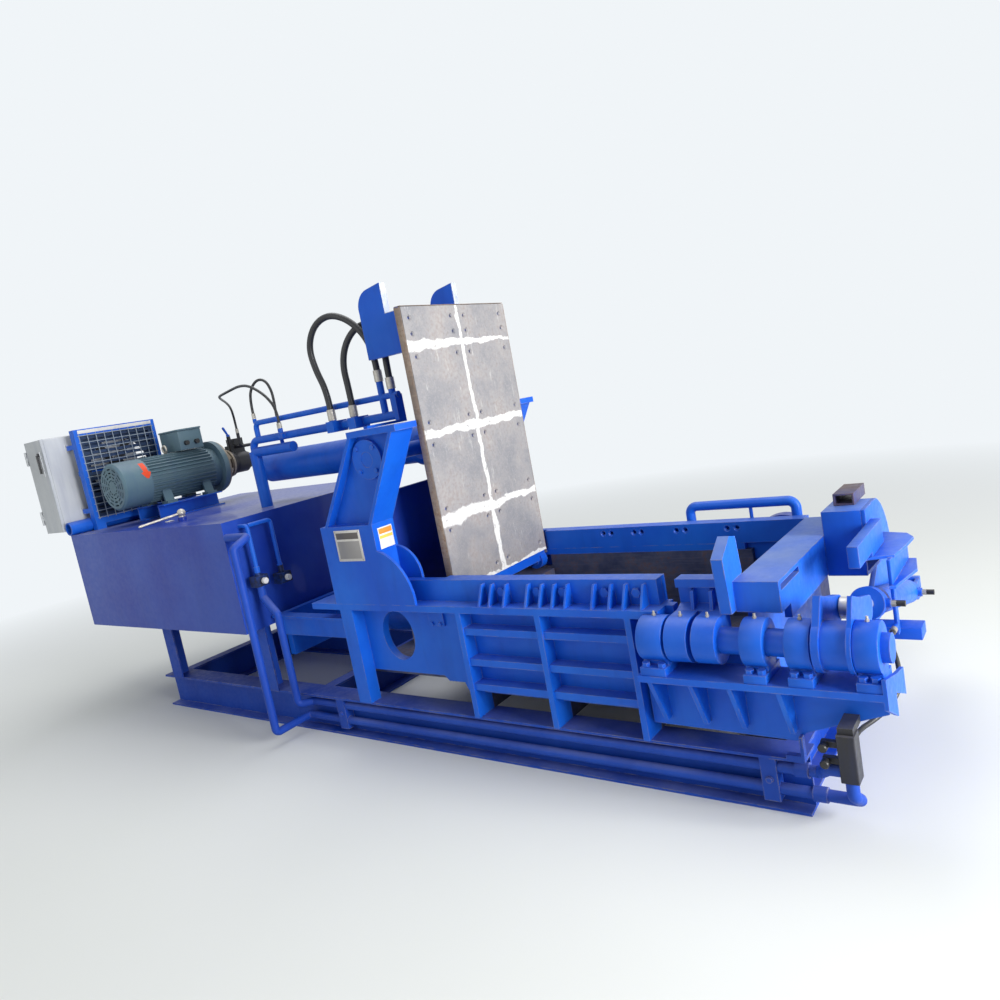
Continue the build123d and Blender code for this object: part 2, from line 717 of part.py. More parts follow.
# Main cylinder barrel, with its square rear flange bolted between the frame extensions
main_z = 480
main_barrel_radius = 100
main_bore = 80
main_rod = 55
main_rear = -510
main_front = 590
main_gland = 28
gland_step = 8
piston_length = 50
with BuildPart() as main_barrel:
    turned(spot(main_rear, 0, main_z), (1, 0, 0),
           [(0, 0), (0, main_barrel_radius), (main_front - main_rear - 60, main_barrel_radius),
            (main_front - main_rear - 60, main_barrel_radius + gland_step),
            (main_front - main_rear, main_barrel_radius + gland_step), (main_front - main_rear, main_rod + running_gap),
            (main_front - main_rear - main_gland, main_rod + running_gap),
            (main_front - main_rear - main_gland, main_bore), (20, main_bore), (20, 0)])
    block((main_rear, main_rear + 40), (wall_thick - wall_outer, wall_outer - wall_thick),
          (main_z - 110, extension_top))
    round_x((main_rear + 20, main_rear + 41), 0, main_z, main_bore, mode=Mode.SUBTRACT)
    side_plate([(150, floor_top), (210, floor_top), (210, main_z - 60), (150, main_z - 60)], (-90, 90))
    round_x((main_rear + 20, 300), 0, main_z, main_bore, mode=Mode.SUBTRACT)
main_barrel.part.label = "main_barrel"
export_step(main_barrel.part, "parts/main_barrel.step")


# Side cylinder barrel in the arched plate
side_bore = 60
side_rod = 35
side_rear = 1175
side_gland = 60
with BuildPart() as side_barrel:
    turned(spot(side_axis_x, housing_rear - 60, side_axis_z), (0, 1, 0),
           [(0, side_rod + running_gap), (0, side_barrel_radius), (60, side_barrel_radius),
            (60, side_barrel_radius + 25), (85, side_barrel_radius + 25), (85, side_barrel_radius),
            (side_rear - housing_rear + 60, side_barrel_radius), (side_rear - housing_rear + 60, 0),
            (side_rear - housing_rear + 45, 0), (side_rear - housing_rear + 45, side_bore),
            (side_gland + 60, side_bore), (side_gland + 60, side_rod + running_gap)])
side_barrel.part.label = "side_barrel"
export_step(side_barrel.part, "parts/side_barrel.step")


# Manifold pipes that run beside the lid cylinder on a riser from the tank
riser_x = -745
with BuildPart() as manifold_pipes:
    pipe([spot(riser_x, manifold_across, tank_top), spot(riser_x, manifold_across, manifold_low),
          spot(430, manifold_across, manifold_low)], 21, 45)
    round_z(riser_x, manifold_across, (tank_top, manifold_low - 60), 33)
    pipe([spot(riser_x + 60, manifold_across, manifold_low), spot(riser_x + 60, manifold_across, manifold_high),
          spot(440, manifold_across, manifold_high)], 15, 32)
    round_x((riser_x, -400), manifold_across, 1475, 28)
    for x, across, top in loop_starts:
        block((x - 26, x + 26), (across - 28, manifold_across + 24), (manifold_low - 30, manifold_low + 26))
        round_z(x, across, (manifold_low + 26, top - ferrule_length), 19)
    for x, across, top in loop_ends:
        round_z(x, across, (manifold_low, top - ferrule_length), 17)
    block((pilot_end[0] - 13, pilot_end[0] + 13), (pilot_end[1] - 12, manifold_across),
          (manifold_low - 13, manifold_low + 13))
    round_z(pilot_end[0], pilot_end[1], (manifold_low, pilot_end[2] - pilot_ferrule), 11)
    round_z(link_start[0], link_start[1], (manifold_high, link_start[2] - pilot_ferrule), 11)
    block((link_end[0] - 14, link_end[0] + 14), (manifold_across, link_end[1] + 12), (1461, 1489))
    round_z(link_end[0], link_end[1], (1475, link_end[2] - pilot_ferrule), 11)
    block((410, 436), (-pillar_inner - 40, manifold_across + 20), (tower_top + cap_thick, tower_top + cap_thick + 12))
    block((410, 436), (manifold_across - 25, manifold_across + 25), (tower_top + cap_thick, manifold_high))
manifold_pipes.part.label = "manifold_pipes"
export_step(manifold_pipes.part, "parts/manifold_pipes.step")


# The two supply pipes: from the tank side, down to the skid and along its front recess
gauge_x = -470
gauge_spots = ((-545, 825), (-400, 800))
end_valve_x = (2336, 2390)
end_valve_z = (190, 345)
end_valve_middle = -580
pipe_a_x = -360
pipe_a_across = -725
pipe_b_across = -560
run_end = 2215
coupling_length = 45
with BuildPart() as long_pipes:
    pipe([spot(tank_right, pipe_a_across + 95, 1080), spot(pipe_a_x, pipe_a_across + 95, 1080),
          spot(pipe_a_x, pipe_a_across, 1040), spot(pipe_a_x, pipe_a_across, lower_run),
          spot(pipe_a_x, long_pipe_across, lower_run), spot(end_valve_x[0] + 25, long_pipe_across, lower_run),
          spot(end_valve_x[0] + 25, end_valve_middle, lower_run + 60),
          spot(end_valve_x[0] + 25, end_valve_middle, end_valve_z[0])],
         long_pipe_radius, 24)
    pipe([spot(gauge_x, gauge_spots[0][0], gauge_spots[0][1] - 28), spot(gauge_x, gauge_spots[0][0], 735),
          spot(pipe_a_x, pipe_b_across, 650), spot(pipe_a_x, pipe_b_across, upper_run),
          spot(pipe_a_x + 60, long_pipe_across, upper_run), spot(run_end + 30, long_pipe_across, upper_run),
          spot(run_end + 80, end_valve_middle, upper_run + 62),
          spot(end_valve_x[0], end_valve_middle, upper_run + 62)],
         long_pipe_radius, 24)
    round_x((run_end, run_end + coupling_length), long_pipe_across, lower_run, 26)
    round_x((run_end - coupling_length - 5, run_end - 5), long_pipe_across, upper_run, 26)
long_pipes.part.label = "long_pipes"
export_step(long_pipes.part, "parts/long_pipes.step")


# Clamps that hold the supply pipes to the beam web
clamp_x = (-75, 2080)
with BuildPart() as pipe_clamps:
    for x in clamp_x:
        side_plate([(x - 28, lower_run - 40), (x + 28, lower_run - 40), (x + 28, upper_run + 36),
                    (x - 28, upper_run + 36)], (-beam_line - beam_web / 2 - 52, -beam_line - beam_web / 2))
        for z in (lower_run, upper_run):
            round_x((x - 29, x + 29), long_pipe_across, z, long_pipe_radius + 0.3, mode=Mode.SUBTRACT)
        round_y(x, (-beam_line - beam_web / 2 - 62, -beam_line - beam_web / 2 - 52),
                (lower_run + upper_run) / 2, 11)
pipe_clamps.part.label = "pipe_clamps"
export_step(pipe_clamps.part, "parts/pipe_clamps.step")


# Two black gauge valves on the tank side, with the small pipes that feed them
header_z = 1120
with BuildPart() as tank_valves:
    for across, z in gauge_spots:
        block((gauge_x - 30, gauge_x + 30), (across - 38, across + 38), (z - 28, z + 28))
        round_z(gauge_x, across, (z + 28, z + 75), 15)
    pipe([spot(tank_right, gauge_spots[0][0], header_z), spot(gauge_x, gauge_spots[0][0], header_z),
          spot(gauge_x, gauge_spots[0][0], gauge_spots[0][1] + 70)], 11, 20)
    pipe([spot(gauge_x, gauge_spots[0][0] + 5, header_z), spot(gauge_x, gauge_spots[1][0], header_z),
          spot(gauge_x, gauge_spots[1][0], gauge_spots[1][1] + 70)], 11, 20)
tank_valves.part.label = "tank_valves"
export_step(tank_valves.part, "parts/tank_valves.step")


# Control valve at the outlet end of the supply pipes
valve_half = 32
knob_heights = (303, 249)
with BuildPart() as end_valve:
    block(end_valve_x, (end_valve_middle - valve_half, end_valve_middle + valve_half), end_valve_z)
    fillet(end_valve.edges().filter_by(Axis.Z), 4)
    block((end_valve_x[0] + 4, end_valve_x[1] - 4), (end_valve_middle - 20, bracket_web),
          (end_valve_z[1] - 2, end_valve_z[1] + 22))
    for z in knob_heights:
        block((end_valve_x[0] - 52, end_valve_x[0] + 8), (end_valve_middle - 10, end_valve_middle + 10),
              (z - 10, z + 10))
end_valve.part.label = "end_valve"
export_step(end_valve.part, "parts/end_valve.step")


# Bent pipe that stands over the rear wall
with BuildPart() as rear_pipe:
    pipe([spot(1497, wall_outer + 27, flange_top), spot(1497, wall_outer + 27, 862),
          spot(1985, wall_outer + 27, 862), spot(1985, wall_outer + 27, ram_top + 40)], 22, 34)
    round_z(1785, wall_outer + 27, (ram_top + 40, 860), 8)
rear_pipe.part.label = "rear_pipe"
export_step(rear_pipe.part, "parts/rear_pipe.step")


# Motor: a finned shell with end shields and a fan cowl, hollow for its rotor
motor_radius = 132
fin_height = 16
fin_count = 36
shell_bore = 100
cowl_radius = 148
cowl_rear = -330
shield_front = 190
shaft_bore = 24
with BuildPart() as motor_frame:
    turned(spot(motor_x, 0, motor_z), (0, 1, 0),
           [(cowl_rear, shaft_bore + running_gap), (cowl_rear, motor_radius), (shield_front, motor_radius),
            (shield_front, 178), (motor_flange, 178), (motor_flange, shaft_bore + running_gap),
            (shield_front - 25, shaft_bore + running_gap), (shield_front - 25, shell_bore),
            (cowl_rear + 25, shell_bore), (cowl_rear + 25, shaft_bore + running_gap)])
    for turn in range(fin_count):
        angle = 360 * turn / fin_count
        if not 250 < angle < 290:
            fin_plane = Plane(spot(motor_x, 0, motor_z), x_dir=(0, 1, 0),
                              z_dir=(sin(radians(angle)), 0, -cos(radians(angle))))
            with BuildSketch(fin_plane) as fin:
                with BuildLine():
                    upward = fin_plane.y_dir.dot(Vector(cos(radians(angle)), 0, sin(radians(angle))))
                    low = upward * (motor_radius - 2)
                    high = upward * (motor_radius + fin_height)
                    Polyline((cowl_rear + 12, low), (140, low), (140, high), (cowl_rear + 12, high), close=True)
                make_face()
            extrude(fin.sketch, amount=2.5, both=True)
    turned(spot(motor_x, 0, motor_z), (0, 1, 0),
           [(fan_end, 0), (fan_end, cowl_radius - 12), (fan_end + 12, cowl_radius), (cowl_rear + 12, cowl_radius),
            (cowl_rear + 12, motor_radius - 1), (cowl_rear, motor_radius - 1), (cowl_rear, cowl_radius - 3),
            (fan_end + 12, cowl_radius - 3), (fan_end + 12, 0)])
    with BuildSketch(Plane(spot(motor_x, fan_end - 1, motor_z), x_dir=(1, 0, 0), z_dir=(0, -1, 0))) as vents:
        for ring in (45, 68, 91, 114):
            with PolarLocations(ring, 12):
                SlotOverall(ring * 0.36, 9, rotation=90)
    extrude(vents.sketch, amount=-14, mode=Mode.SUBTRACT)
    for x in (motor_x - 127, motor_x + 127):
        for across in (-230, 60):
            block((x - 35, x + 35), (across - 35, across + 35), (tank_top + rail_height, tank_top + rail_height + 16))
            foot_top = motor_z - 60
            inward = 1 if x < motor_x else -1
            side_plate([(x - 8, tank_top + rail_height + 15), (x + 8, tank_top + rail_height + 15),
                        (x + 8 + inward * 20, foot_top), (x - 8 + inward * 20, foot_top)],
                       (across - 30, across + 30))
    round_y(motor_x, (cowl_rear + 25, shield_front - 25), motor_z, shell_bore, mode=Mode.SUBTRACT)
motor_frame.part.label = "motor_frame"
export_step(motor_frame.part, "parts/motor_frame.step")


# Terminal box on top of the motor
box_foot = motor_z + motor_radius + fin_height + 0.5
with BuildPart() as terminal_box:
    block((motor_x - 70, motor_x + 70), (-210, 20), (box_foot, box_foot + 95))
    fillet(terminal_box.edges().filter_by(Axis.Z), 10)
    block((motor_x - 75, motor_x + 75), (-215, 25), (box_foot + 95, box_foot + 103))
    round_x((motor_x + 70, motor_x + 100), -150, box_foot + 40, 16)
terminal_box.part.label = "terminal_box"
export_step(terminal_box.part, "parts/terminal_box.step")


# Rails under the motor feet
with BuildPart() as motor_rails:
    for x in (motor_x - 127, motor_x + 127):
        side_plate([(x - 38, tank_top), (x + 38, tank_top), (x + 38, tank_top + 8), (x - 30, tank_top + 8),
                    (x - 30, tank_top + rail_height - 8), (x + 38, tank_top + rail_height - 8),
                    (x + 38, tank_top + rail_height), (x - 38, tank_top + rail_height)],
                   (-300, 130))
motor_rails.part.label = "motor_rails"
export_step(motor_rails.part, "parts/motor_rails.step")


# Bell housing between motor and pump, with a window over the coupling
bell_end = 335
with BuildPart() as bell_housing:
    turned(spot(motor_x, 0, motor_z), (0, 1, 0),
           [(motor_flange, 75), (motor_flange, 170), (motor_flange + 18, 170), (motor_flange + 40, 120),
            (bell_end - 14, 84), (bell_end - 14, 96), (bell_end, 96), (bell_end, 50),
            (bell_end - 20, 50), (motor_flange + 30, 75)])
    block((motor_x + 20, motor_x + 180), (motor_flange + 45, bell_end - 24), (motor_z - 32, motor_z + 32),
          mode=Mode.SUBTRACT)
bell_housing.part.label = "bell_housing"
export_step(bell_housing.part, "parts/bell_housing.step")


# Pump with its valve block on top
pump_shaft = 14
pump_end = 500
with BuildPart() as pump:
    turned(spot(motor_x, 0, motor_z), (0, 1, 0),
           [(bell_end, pump_shaft + running_gap), (bell_end, 92), (bell_end + 16, 92), (bell_end + 16, 70),
            (bell_end + 50, 78), (pump_end - 30, 78), (pump_end - 30, 66), (pump_end, 60), (pump_end, 0),
            (bell_end + 70, 0), (bell_end + 70, pump_shaft + running_gap)])
    block((motor_x - 45, motor_x + 45), (bell_end + 30, pump_end - 36), (motor_z + 60, motor_z + 120))
    block((motor_x - 35, motor_x + 60), (bell_end + 45, pump_end - 50), (motor_z + 120, motor_z + 165))
    round_z(motor_x + 40, bell_end + 20, (motor_z + 60, motor_z + 185), 14)
    block((motor_x + 26, motor_x + 54), (bell_end + 10, bell_end + 40), (motor_z + 80, motor_z + 120))
    pipe([spot(motor_x + 40, bell_end + 60, motor_z + 105), spot(pilot_start[0], bell_end + 60, motor_z + 105),
          spot(pilot_start[0], pilot_start[1], motor_z + 105),
          spot(pilot_start[0], pilot_start[1], pilot_start[2] - pilot_ferrule)], 11, 22)
pump.part.label = "pump"
export_step(pump.part, "parts/pump.step")


# Oil cooler: a sheet frame, a tube core behind and a wire guard over the face
cooler_face = -2110
cooler_back = -2165
cooler_front_edge = -515
cooler_rear_edge = 35
cooler_foot = 1235
cooler_head = 1815
post = 26
tube_radius = 42
tube_x = tank_left + 4
with BuildPart() as cooler_frame:
    block((cooler_back, cooler_face), (cooler_front_edge, cooler_rear_edge), (tank_top, cooler_head))
    block((cooler_back - 1, cooler_face + 1), (cooler_front_edge + post, cooler_rear_edge - post),
          (cooler_foot, cooler_head - 40), mode=Mode.SUBTRACT)
    block((cooler_back - 1, cooler_face + 1), (cooler_front_edge + 60, cooler_rear_edge - 60),
          (tank_top - 1, cooler_foot - 40), mode=Mode.SUBTRACT)
    round_y(tube_x, (-tank_half - 5, cooler_rear_edge + 60), tank_top + tube_radius, tube_radius)
    round_y(tube_x, (-tank_half - 6, cooler_rear_edge + 61), tank_top + tube_radius, tube_radius - 6,
            mode=Mode.SUBTRACT)
    for across in (cooler_front_edge, cooler_rear_edge - post):
        block((cooler_back - 85, cooler_back), (across, across + post), (cooler_foot + 40, cooler_foot + 70))
        block((cooler_back - 85, cooler_back), (across, across + post), (cooler_head - 120, cooler_head - 90))
    block((cooler_back - 12, cooler_back), (cooler_front_edge, cooler_rear_edge), (1520, 1550))
    round_x((cooler_back - 40, cooler_back - 12), (cooler_front_edge + cooler_rear_edge) / 2, 1535, 12)
cooler_frame.part.label = "cooler_frame"
export_step(cooler_frame.part, "parts/cooler_frame.step")

tube_count = 16
with BuildPart() as cooler_core:
    core_front = cooler_front_edge + post
    core_rear = cooler_rear_edge - post
    core_foot = cooler_foot
    core_head = cooler_head - 40
    block((cooler_back + 4, cooler_face - 14), (core_front, core_front + 22), (core_foot, core_head))
    block((cooler_back + 4, cooler_face - 14), (core_rear - 22, core_rear), (core_foot, core_head))
    pitch = (core_head - core_foot) / tube_count
    for row in range(tube_count):
        middle = core_foot + pitch * (row + 0.5)
        block((cooler_back + 12, cooler_face - 20), (core_front + 22, core_rear - 22),
              (middle - pitch * 0.3, middle + pitch * 0.3))
cooler_core.part.label = "cooler_core"
export_step(cooler_core.part, "parts/cooler_core.step")

wire = 4
guard_columns = 9
guard_rows = 12
with BuildPart() as cooler_guard:
    span = core_rear - core_front
    rise = core_head - core_foot
    for column in range(guard_columns + 1):
        across = core_front + wire / 2 + (span - wire) * column / guard_columns
        block((cooler_face, cooler_face + wire), (across - wire / 2, across + wire / 2), (core_foot - 8, core_head + 8))
    for row in range(guard_rows + 1):
        z = core_foot + wire / 2 + (rise - wire) * row / guard_rows
        block((cooler_face + wire / 2, cooler_face + 1.5 * wire), (core_front - 8, core_rear + 8),
              (z - wire / 2, z + wire / 2))
cooler_guard.part.label = "cooler_guard"
export_step(cooler_guard.part, "parts/cooler_guard.step")


# Control cabinet, open at the front for its door
cabinet_left = -2510
cabinet_right = -2262
cabinet_front = -640
cabinet_rear = -60
cabinet_foot = 1185
cabinet_top = 1795
sheet = 3
door_thick = 18
door_sheet = 2
knuckle = 30
knuckle_radius = 6
knuckle_pin = 3
door_hinge_x = cabinet_left + knuckle_radius
door_hinge_across = cabinet_front - door_thick - knuckle_radius
hinge_heights = (cabinet_foot + 60, cabinet_top - 150)
with BuildPart() as cabinet:
    block((cabinet_left, cabinet_right), (cabinet_front, cabinet_rear), (cabinet_foot, cabinet_top))
    fillet(cabinet.edges().filter_by(Axis.Y), 8)
    block((cabinet_left + sheet, cabinet_right - sheet), (cabinet_front - 1, cabinet_rear - sheet),
          (cabinet_foot + sheet, cabinet_top - sheet), mode=Mode.SUBTRACT)
    block((cabinet_right, cabinet_right + 12), (cooler_front_edge, cooler_front_edge + post),
          (cooler_foot + 30, cooler_foot + 80))
    block((cabinet_right, cabinet_right + 12), (cooler_front_edge, cooler_front_edge + post),
          (cooler_head - 130, cooler_head - 80))
    for z in hinge_heights:
        round_z(door_hinge_x, door_hinge_across, (z, z + 3 * knuckle), knuckle_pin)
        for low in (z, z + 2 * knuckle):
            round_z(door_hinge_x, door_hinge_across, (low, low + knuckle), knuckle_radius)
            block((cabinet_left, door_hinge_x), (door_hinge_across, cabinet_front + 9), (low, low + knuckle))
cabinet.part.label = "cabinet"
export_step(cabinet.part, "parts/cabinet.step")

door_left = door_hinge_x + knuckle_radius + 2
with BuildPart() as cabinet_door:
    block((door_left, cabinet_right - 2), (cabinet_front - door_thick, cabinet_front - seat_gap),
          (cabinet_foot + 2, cabinet_top - 2))
    block((door_left + door_sheet, cabinet_right - 2 - door_sheet),
          (cabinet_front - door_thick + door_sheet, cabinet_front),
          (cabinet_foot + 2 + door_sheet, cabinet_top - 2 - door_sheet), mode=Mode.SUBTRACT)
    for z in hinge_heights:
        low, high = z + knuckle + seat_gap, z + 2 * knuckle - seat_gap
        round_z(door_hinge_x, door_hinge_across, (low, high), knuckle_radius)
        block((door_hinge_x, door_left + door_sheet), (door_hinge_across + 3, cabinet_front - door_thick + door_sheet),
              (low, high))
        round_z(door_hinge_x, door_hinge_across, (low - 1, high + 1), knuckle_pin + running_gap,
                mode=Mode.SUBTRACT)
    round_y(cabinet_right - 95, (cabinet_front - door_thick - 4, cabinet_front - door_thick + 2), 1685, 14)
    block((cabinet_right - 66, cabinet_right - 40), (cabinet_front - door_thick - 6, cabinet_front - door_thick + 2),
          (1560, 1720))
cabinet_door.part.label = "cabinet_door"
export_step(cabinet_door.part, "parts/cabinet_door.step")

handle_x = cabinet_right - 53
handle_z = 1700
with BuildPart() as door_handle:
    round_y(handle_x, (cabinet_front - door_thick - 14, cabinet_front - door_thick - 6 - seat_gap), handle_z, 12)
    side_plate([(handle_x - 9, handle_z), (handle_x + 9, handle_z), (handle_x + 7, handle_z - 120),
                (handle_x - 7, handle_z - 120)], (cabinet_front - door_thick - 22, cabinet_front - door_thick - 13))
door_handle.part.label = "door_handle"
export_step(door_handle.part, "parts/door_handle.step")


# Rotor: shaft, drum, cooling fan, coupling and pump shaft as one turning set
with BuildPart() as motor_rotor:
    turned(spot(motor_x, 0, motor_z), (0, 1, 0),
           [(fan_end + 30, 0), (fan_end + 30, shaft_bore), (cowl_rear + 40, shaft_bore), (cowl_rear + 40, 92),
            (shield_front - 40, 92), (shield_front - 40, shaft_bore), (motor_flange + 2, shaft_bore),
            (motor_flange + 2, 42), (bell_end - 30, 42), (bell_end - 30, pump_shaft),
            (bell_end + 60, pump_shaft), (bell_end + 60, 0)])
    round_y(motor_x, (fan_end + 34, cowl_rear - 30), motor_z, 40)
    fan_blades = 7
    for blade in range(fan_blades):
        angle = 2 * pi * blade / fan_blades
        blade_plane = Plane(spot(motor_x, (fan_end + cowl_rear) / 2, motor_z),
                            x_dir=(cos(angle), 0, sin(angle)), z_dir=(-sin(angle), 0, cos(angle)))
        with BuildSketch(blade_plane) as fan_blade:
            with Locations((82, 0)):
                Rectangle(96, 80)
        extrude(fan_blade.sketch, amount=2, both=True)
motor_rotor.part.label = "motor_rotor"
export_step(motor_rotor.part, "parts/motor_rotor.step")

# Cooler fan, turning on the stub behind the core
fan_across = (cooler_front_edge + cooler_rear_edge) / 2
fan_z = 1535
with BuildPart() as cooler_fan:
    round_x((cooler_back - 62, cooler_back - 20), fan_across, fan_z, 55)
    for blade in range(6):
        angle = 2 * pi * blade / 6
        radial = Vector(0, cos(angle), sin(angle))
        across_blade = Vector(1, 0, 0).cross(radial)
        pitched = (across_blade * cos(radians(25)) + Vector(1, 0, 0) * sin(radians(25))).normalized()
        with BuildSketch(Plane(Vector(*spot(cooler_back - 41, fan_across, fan_z)), x_dir=radial,
                               z_dir=radial.cross(pitched))) as paddle:
            with BuildLine():
                Polyline((50, -28), (200, -42), (200, 42), (50, 28), close=True)
            make_face()
        extrude(paddle.sketch, amount=1.5, both=True)
    round_x((cooler_back - 41, cooler_back - 19), fan_across, fan_z, 12 + running_gap, mode=Mode.SUBTRACT)
cooler_fan.part.label = "cooler_fan"
export_step(cooler_fan.part, "parts/cooler_fan.step")


# Lever valve on the tank top: a ball head and a long rod that lies towards the front
lever_reach = 245
lever_turn = radians(15)
with BuildPart() as tank_lever:
    round_z(valve_x, valve_across, (valve_boss_top + seat_gap, valve_boss_top + 12), 18)
    with Locations(spot(valve_x, valve_across, valve_boss_top + 24)):
        Sphere(24)
    turned(spot(valve_x, valve_across, valve_boss_top + 22), (-sin(lever_turn), -cos(lever_turn), -0.1),
           [(0, 0), (0, 7), (lever_reach - 8, 7), (lever_reach, 4), (lever_reach, 0)])
tank_lever.part.label = "tank_lever"
export_step(tank_lever.part, "parts/tank_lever.step")

# Small lever on the pump valve
pump_lever_z = motor_z + 185 + seat_gap
with BuildPart() as pump_lever:
    round_z(motor_x + 40, bell_end + 20, (pump_lever_z, pump_lever_z + 14), 12)
    turned(spot(motor_x + 40, bell_end + 20, pump_lever_z + 8), (-0.25, -0.3, 1),
           [(0, 0), (0, 7), (60, 9), (66, 5), (66, 0)])
pump_lever.part.label = "pump_lever"
export_step(pump_lever.part, "parts/pump_lever.step")


# Knobs: two on the tank side valves, two on the end valve
def knob(origin, axis_dir, radius, length):
    """A turned knob with a grip groove."""
    turned(origin, axis_dir,
           [(0, 0), (0, radius * 0.6), (length * 0.3, radius * 0.6), (length * 0.3, radius),
            (length * 0.9, radius), (length, radius * 0.8), (length, 0)])


with BuildPart() as tank_knob_front:
    knob(spot(gauge_x + 30 + seat_gap, gauge_spots[0][0], gauge_spots[0][1]), (1, 0, 0), 16, 30)
tank_knob_front.part.label = "tank_knob_front"
export_step(tank_knob_front.part, "parts/tank_knob_front.step")

with BuildPart() as tank_knob_rear:
    knob(spot(gauge_x + 30 + seat_gap, gauge_spots[1][0], gauge_spots[1][1]), (1, 0, 0), 16, 30)
tank_knob_rear.part.label = "tank_knob_rear"
export_step(tank_knob_rear.part, "parts/tank_knob_rear.step")

with BuildPart() as end_knob_upper:
    knob(spot(end_valve_x[0] - 40, end_valve_middle - 10 - seat_gap, knob_heights[0]), (0, -1, 0), 14, 34)
end_knob_upper.part.label = "end_knob_upper"
export_step(end_knob_upper.part, "parts/end_knob_upper.step")

with BuildPart() as end_knob_lower:
    knob(spot(end_valve_x[0] - 40, end_valve_middle - 10 - seat_gap, knob_heights[1]), (0, -1, 0), 14, 34)
end_knob_lower.part.label = "end_knob_lower"
export_step(end_knob_lower.part, "parts/end_knob_lower.step")


# Lid: a plate with hinge eyes, two long arms that end in horns, cross ribs and cylinder lugs
eye_radius = 45
eye_inner = 330
plate_back = lined_face - liner_thick - lid_plate
horn_face = hinge_x - (rail_top + seat_gap - hinge_z)
lug_inner = 45
lug_thick = 35
with BuildPart() as lid_frame:
    block((plate_back, plate_back + lid_plate), (-lid_half, lid_half), (hinge_z, lid_top))
    for side in (-1, 1):
        def band(low, high):
            return sorted((side * low, side * high))
        arm_band = band(arm_middle - arm_thick / 2, arm_middle + arm_thick / 2)
        near, far = arm_band
        with BuildSketch(Plane.XZ.offset(-(mid_y + far))) as arm:
            with BuildLine():
                Polyline((plate_back - arm_depth + 45, hinge_z + 50), (plate_back, hinge_z + 50),
                         (plate_back, lid_top + 8), (horn_face, lid_top + 8), (horn_face, horn_tip),
                         (horn_back + 75, horn_tip - 12))
                ThreePointArc((horn_back + 75, horn_tip - 12), (horn_back + 16, horn_tip - 45),
                              (horn_back, horn_tip - 105))
                Polyline((horn_back, horn_tip - 105), (horn_back, horn_foot), (plate_back - arm_depth, horn_foot),
                         (plate_back - arm_depth, hinge_z + 110), (plate_back - arm_depth + 45, hinge_z + 50))
            make_face()
        extrude(arm.sketch, amount=far - near)
        round_y(hinge_x, band(eye_inner, lid_half), hinge_z, eye_radius)
        block((hinge_x, plate_back + lid_plate), band(eye_inner, lid_half), (hinge_z, hinge_z + 90))
        side_plate([(plate_back, trunnion_z - 190), (plate_back, trunnion_z + 75),
                    (lid_eye_x - 10, trunnion_z + 62), (lid_eye_x - 42, trunnion_z + 20),
                    (lid_eye_x - 42, trunnion_z - 120)], band(lug_inner, lug_inner + lug_thick))
        round_y(lid_eye_x, band(lug_inner + lug_thick, lug_inner + lug_thick + 14), trunnion_z, 26)
        round_y(hinge_x, band(pin_inner - 1, lid_half + 1), hinge_z, hinge_pin + running_gap,
                mode=Mode.SUBTRACT)
    arm_inner = arm_middle - arm_thick / 2
    for z in (hinge_z + 150, hinge_z + 400, 1560, 1740, 1930):
        block((plate_back - 60, plate_back), (-arm_inner, arm_inner), (z - 10, z + 10))
lid_frame.part.label = "lid_frame"
export_step(lid_frame.part, "parts/lid_frame.step")

# Wear plates of the lid, two by four, with countersunk bolt holes
seam = 4
row_edges = (hinge_z + 48, 1040, 1430, 1820, lid_top)
with BuildPart() as lid_liners:
    for low, high in zip(row_edges, row_edges[1:]):
        for left, right in ((-lid_half + 2, -seam / 2), (seam / 2, lid_half - 2)):
            block((plate_back + lid_plate, lined_face), (left, right), (low + seam / 2, high - seam / 2))
    for low, high in zip(row_edges, row_edges[1:]):
        for left, right in ((-lid_half, 0), (0, lid_half)):
            for across in (left + 48, right - 48):
                for z in (low + 50, high - 50):
                    with Locations(Location(spot(lined_face, across, z), (0, 90, 0))):
                        CounterSinkHole(7, 13, depth=liner_thick)
lid_liners.part.label = "lid_liners"
export_step(lid_liners.part, "parts/lid_liners.step")


# Lid cylinder: the barrel swings on its trunnions, the rod ends in an eye between the lugs
lid_bore = 72
lid_rod = 42
lid_gland = 32
lid_barrel_front = 500
with BuildPart() as lid_cylinder_barrel:
    turned(spot(lid_barrel_rear, 0, trunnion_z), (1, 0, 0),
           [(0, 0), (0, lid_barrel_radius - 8), (8, lid_barrel_radius),
            (lid_barrel_front - lid_barrel_rear - 150, lid_barrel_radius),
            (lid_barrel_front - lid_barrel_rear - 150, lid_barrel_radius + 14),
            (lid_barrel_front - lid_barrel_rear, lid_barrel_radius + 14),
            (lid_barrel_front - lid_barrel_rear, lid_rod + running_gap),
            (lid_barrel_front - lid_barrel_rear - lid_gland, lid_rod + running_gap),
            (lid_barrel_front - lid_barrel_rear - lid_gland, lid_bore), (25, lid_bore), (25, 0)])
    for side in (-1, 1):
        near, far = sorted((side * (lid_bore + 10), side * (housing_face - 2)))
        round_y(trunnion_x, (near, far), trunnion_z, trunnion_radius)
        near, far = sorted((side * (lid_bore + 10), side * (lid_barrel_radius + 60)))
        round_y(trunnion_x, (near, far), trunnion_z, 58)
    round_x((lid_barrel_rear + 25, lid_barrel_front - lid_gland), 0, trunnion_z, lid_bore, mode=Mode.SUBTRACT)
    round_x((lid_barrel_rear + 25, lid_barrel_front + 1), 0, trunnion_z, lid_rod + running_gap,
            mode=Mode.SUBTRACT)
lid_cylinder_barrel.part.label = "lid_cylinder_barrel"
export_step(lid_cylinder_barrel.part, "parts/lid_cylinder_barrel.step")

